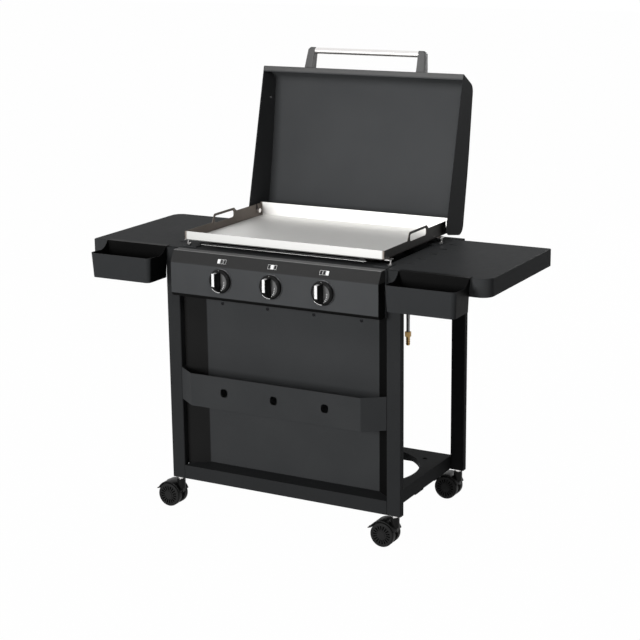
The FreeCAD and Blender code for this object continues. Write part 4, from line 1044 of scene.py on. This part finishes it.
heads = []
for number in range(4):
    spot = ((number - 1.5) * SCREW_SPACING, SCREW_Y, SCREW_Z)
    head = disc("screw", dark_screws, spot, HEAD_RADIUS, HEAD_THICK, sides=32)
    pick("FACE", front_face(SCREW_Y - 0.5))
    pull(y=-DOME_RISE)
    scale(DOME_SHARE, 1, DOME_SHARE, spot)
    inset(RECESS_RIM)
    pull(y=RECESS_DEPTH)
    heads.append(close_up(head))
mount(joined("cover_screw_heads", *heads), "cart", "dark_screws", "cover_screws")

# %% [markdown]
# ## Casters
# A caster has two wheels under a curved hood, which carries the swivel boss. The outer face of each
# wheel has a ring of eighteen deep pockets between thin spokes, painted near black inside as
# painted shade. One wheel is worked from a disc. Its twin is the same wheel turned half round, and
# the hood is an arc of a drum given a thickness.

# %% One wheel pair
AXLE_Z = 33
WHEEL_RADIUS = 33
WHEEL_OUTER, WHEEL_INNER = -24.5, -7.5
TREAD_EDGE, INNER_EDGE = 3.2, 0.8
WHEEL_SIDES = 72
POCKETS = 18
POCKET_RING = (17, 21)
POCKET_DEPTH = 5
TREAD_RIM, DISH = 3.4, 0.9
RING_RIM, RING_WIDTH = 1.8, 11.4
CAP_RIM, CAP_RISE = 3.5, 1
AXLE_RADIUS, AXLE_LENGTH = 4, 30


def reach(where):
    """Distance from the axle."""
    return math.hypot(where.x, where.z - AXLE_Z)


def angle(where):
    """Angle round the axle, in degrees."""
    return math.degrees(math.atan2(where.z - AXLE_Z, where.x))


def pocket(where, way):
    """The faces of the pocket ring that lie between two spokes: two of every four."""
    side = int((angle(where) + 360) * WHEEL_SIDES / 360)
    per_pocket = WHEEL_SIDES // POCKETS
    return (way.y < -0.9 and POCKET_RING[0] < reach(where) < POCKET_RING[1]
            and side % per_pocket >= per_pocket / 2)


wheel = disc("wheel", tyre_plastic, (0, (WHEEL_OUTER + WHEEL_INNER) / 2, AXLE_Z), WHEEL_RADIUS,
             WHEEL_INNER - WHEEL_OUTER, sides=WHEEL_SIDES)
pick("EDGE", lambda where, way: abs(where.y - WHEEL_OUTER) < 0.1)
round_off(TREAD_EDGE, 4)
pick("EDGE", lambda where, way: abs(where.y - WHEEL_INNER) < 0.1)
round_off(INNER_EDGE, 2)
pick("FACE", lambda where, way: way.y < -0.99 and where.y < WHEEL_OUTER + 0.5)
inset(TREAD_RIM)
pull(y=DISH)
inset(RING_RIM)
inset(RING_WIDTH)
pick("FACE", lambda where, way: way.y < -0.9 and reach(where) < 2)
inset(CAP_RIM)
pull(y=-CAP_RISE)
inset(1)
pick("FACE", pocket)
pull(y=POCKET_DEPTH)
# Painted shade: the pockets' floors and walls get the near-black plastic.
wheel.data.materials.append(pocket_painted_shade)
wheel.active_material_index = 1
bpy.ops.object.material_slot_assign()
pocket_mouth = WHEEL_OUTER + DISH
pick("FACE", lambda where, way: abs(way.y) < 0.5
     and pocket_mouth + 0.2 < where.y < pocket_mouth + POCKET_DEPTH)
bpy.ops.object.material_slot_assign()
close_up(wheel)
twin = another(wheel, "wheel_twin")
bpy.ops.object.mode_set(mode="EDIT")
spin(180, "Z", (0, 0, AXLE_Z))
close_up(twin)
axle = disc("axle", bright_steel, (0, 0, AXLE_Z), AXLE_RADIUS, AXLE_LENGTH, sides=32)
close_up(axle)
wheels = joined("wheels", wheel, twin)

# %% Hood
HOOD_RADIUS, HOOD_WIDTH = 38.2, 45.6
HOOD_WALL, HOOD_EDGE = 3.6, 1.2
HOOD_ARC = (18, 152)

hood = disc("hood", black_plastic, (0, 0, AXLE_Z), HOOD_RADIUS, HOOD_WIDTH, sides=96)
pick("FACE", lambda where, way: abs(way.y) > 0.9
     or not HOOD_ARC[0] < angle(where) < HOOD_ARC[1])
bpy.ops.mesh.delete(type="FACE")
bpy.ops.object.mode_set(mode="OBJECT")
modify(hood, "SOLIDIFY", thickness=HOOD_WALL * MM, offset=-1)
modify(hood, "BEVEL", width=HOOD_EDGE * MM, segments=3, limit_method="ANGLE")
close_up(hood)

# %% Four casters
HUB_TRAIL = 28
for corner, (x, y) in CORNERS.items():
    hub = {"x": x - HUB_TRAIL, "y": y}
    rolling, turning, pressing = "wheels_" + corner, "swivel_" + corner, "pedal_" + corner
    mount(another(wheels, "caster_wheel_pair_" + corner, **hub), rolling, "black_plastic",
          "caster_wheels_" + corner)
    mount(another(axle, "caster_axle_" + corner, **hub), rolling, "bright_steel")
    fork = softened("fork", "caster_housing_" + corner, black_plastic, 0.5)
    cover = another(hood, "hood_copy", **hub)
    mount(joined("caster_fork_" + corner, fork, cover), turning, "black_plastic",
          "caster_housing_" + corner)
    mount(softened("brake_lever_" + corner, "brake_pedal_" + corner, black_plastic, 0.5),
          pressing, "black_plastic", "brake_pedal_" + corner)
for used in (wheels, axle, hood):
    bpy.data.objects.remove(used)
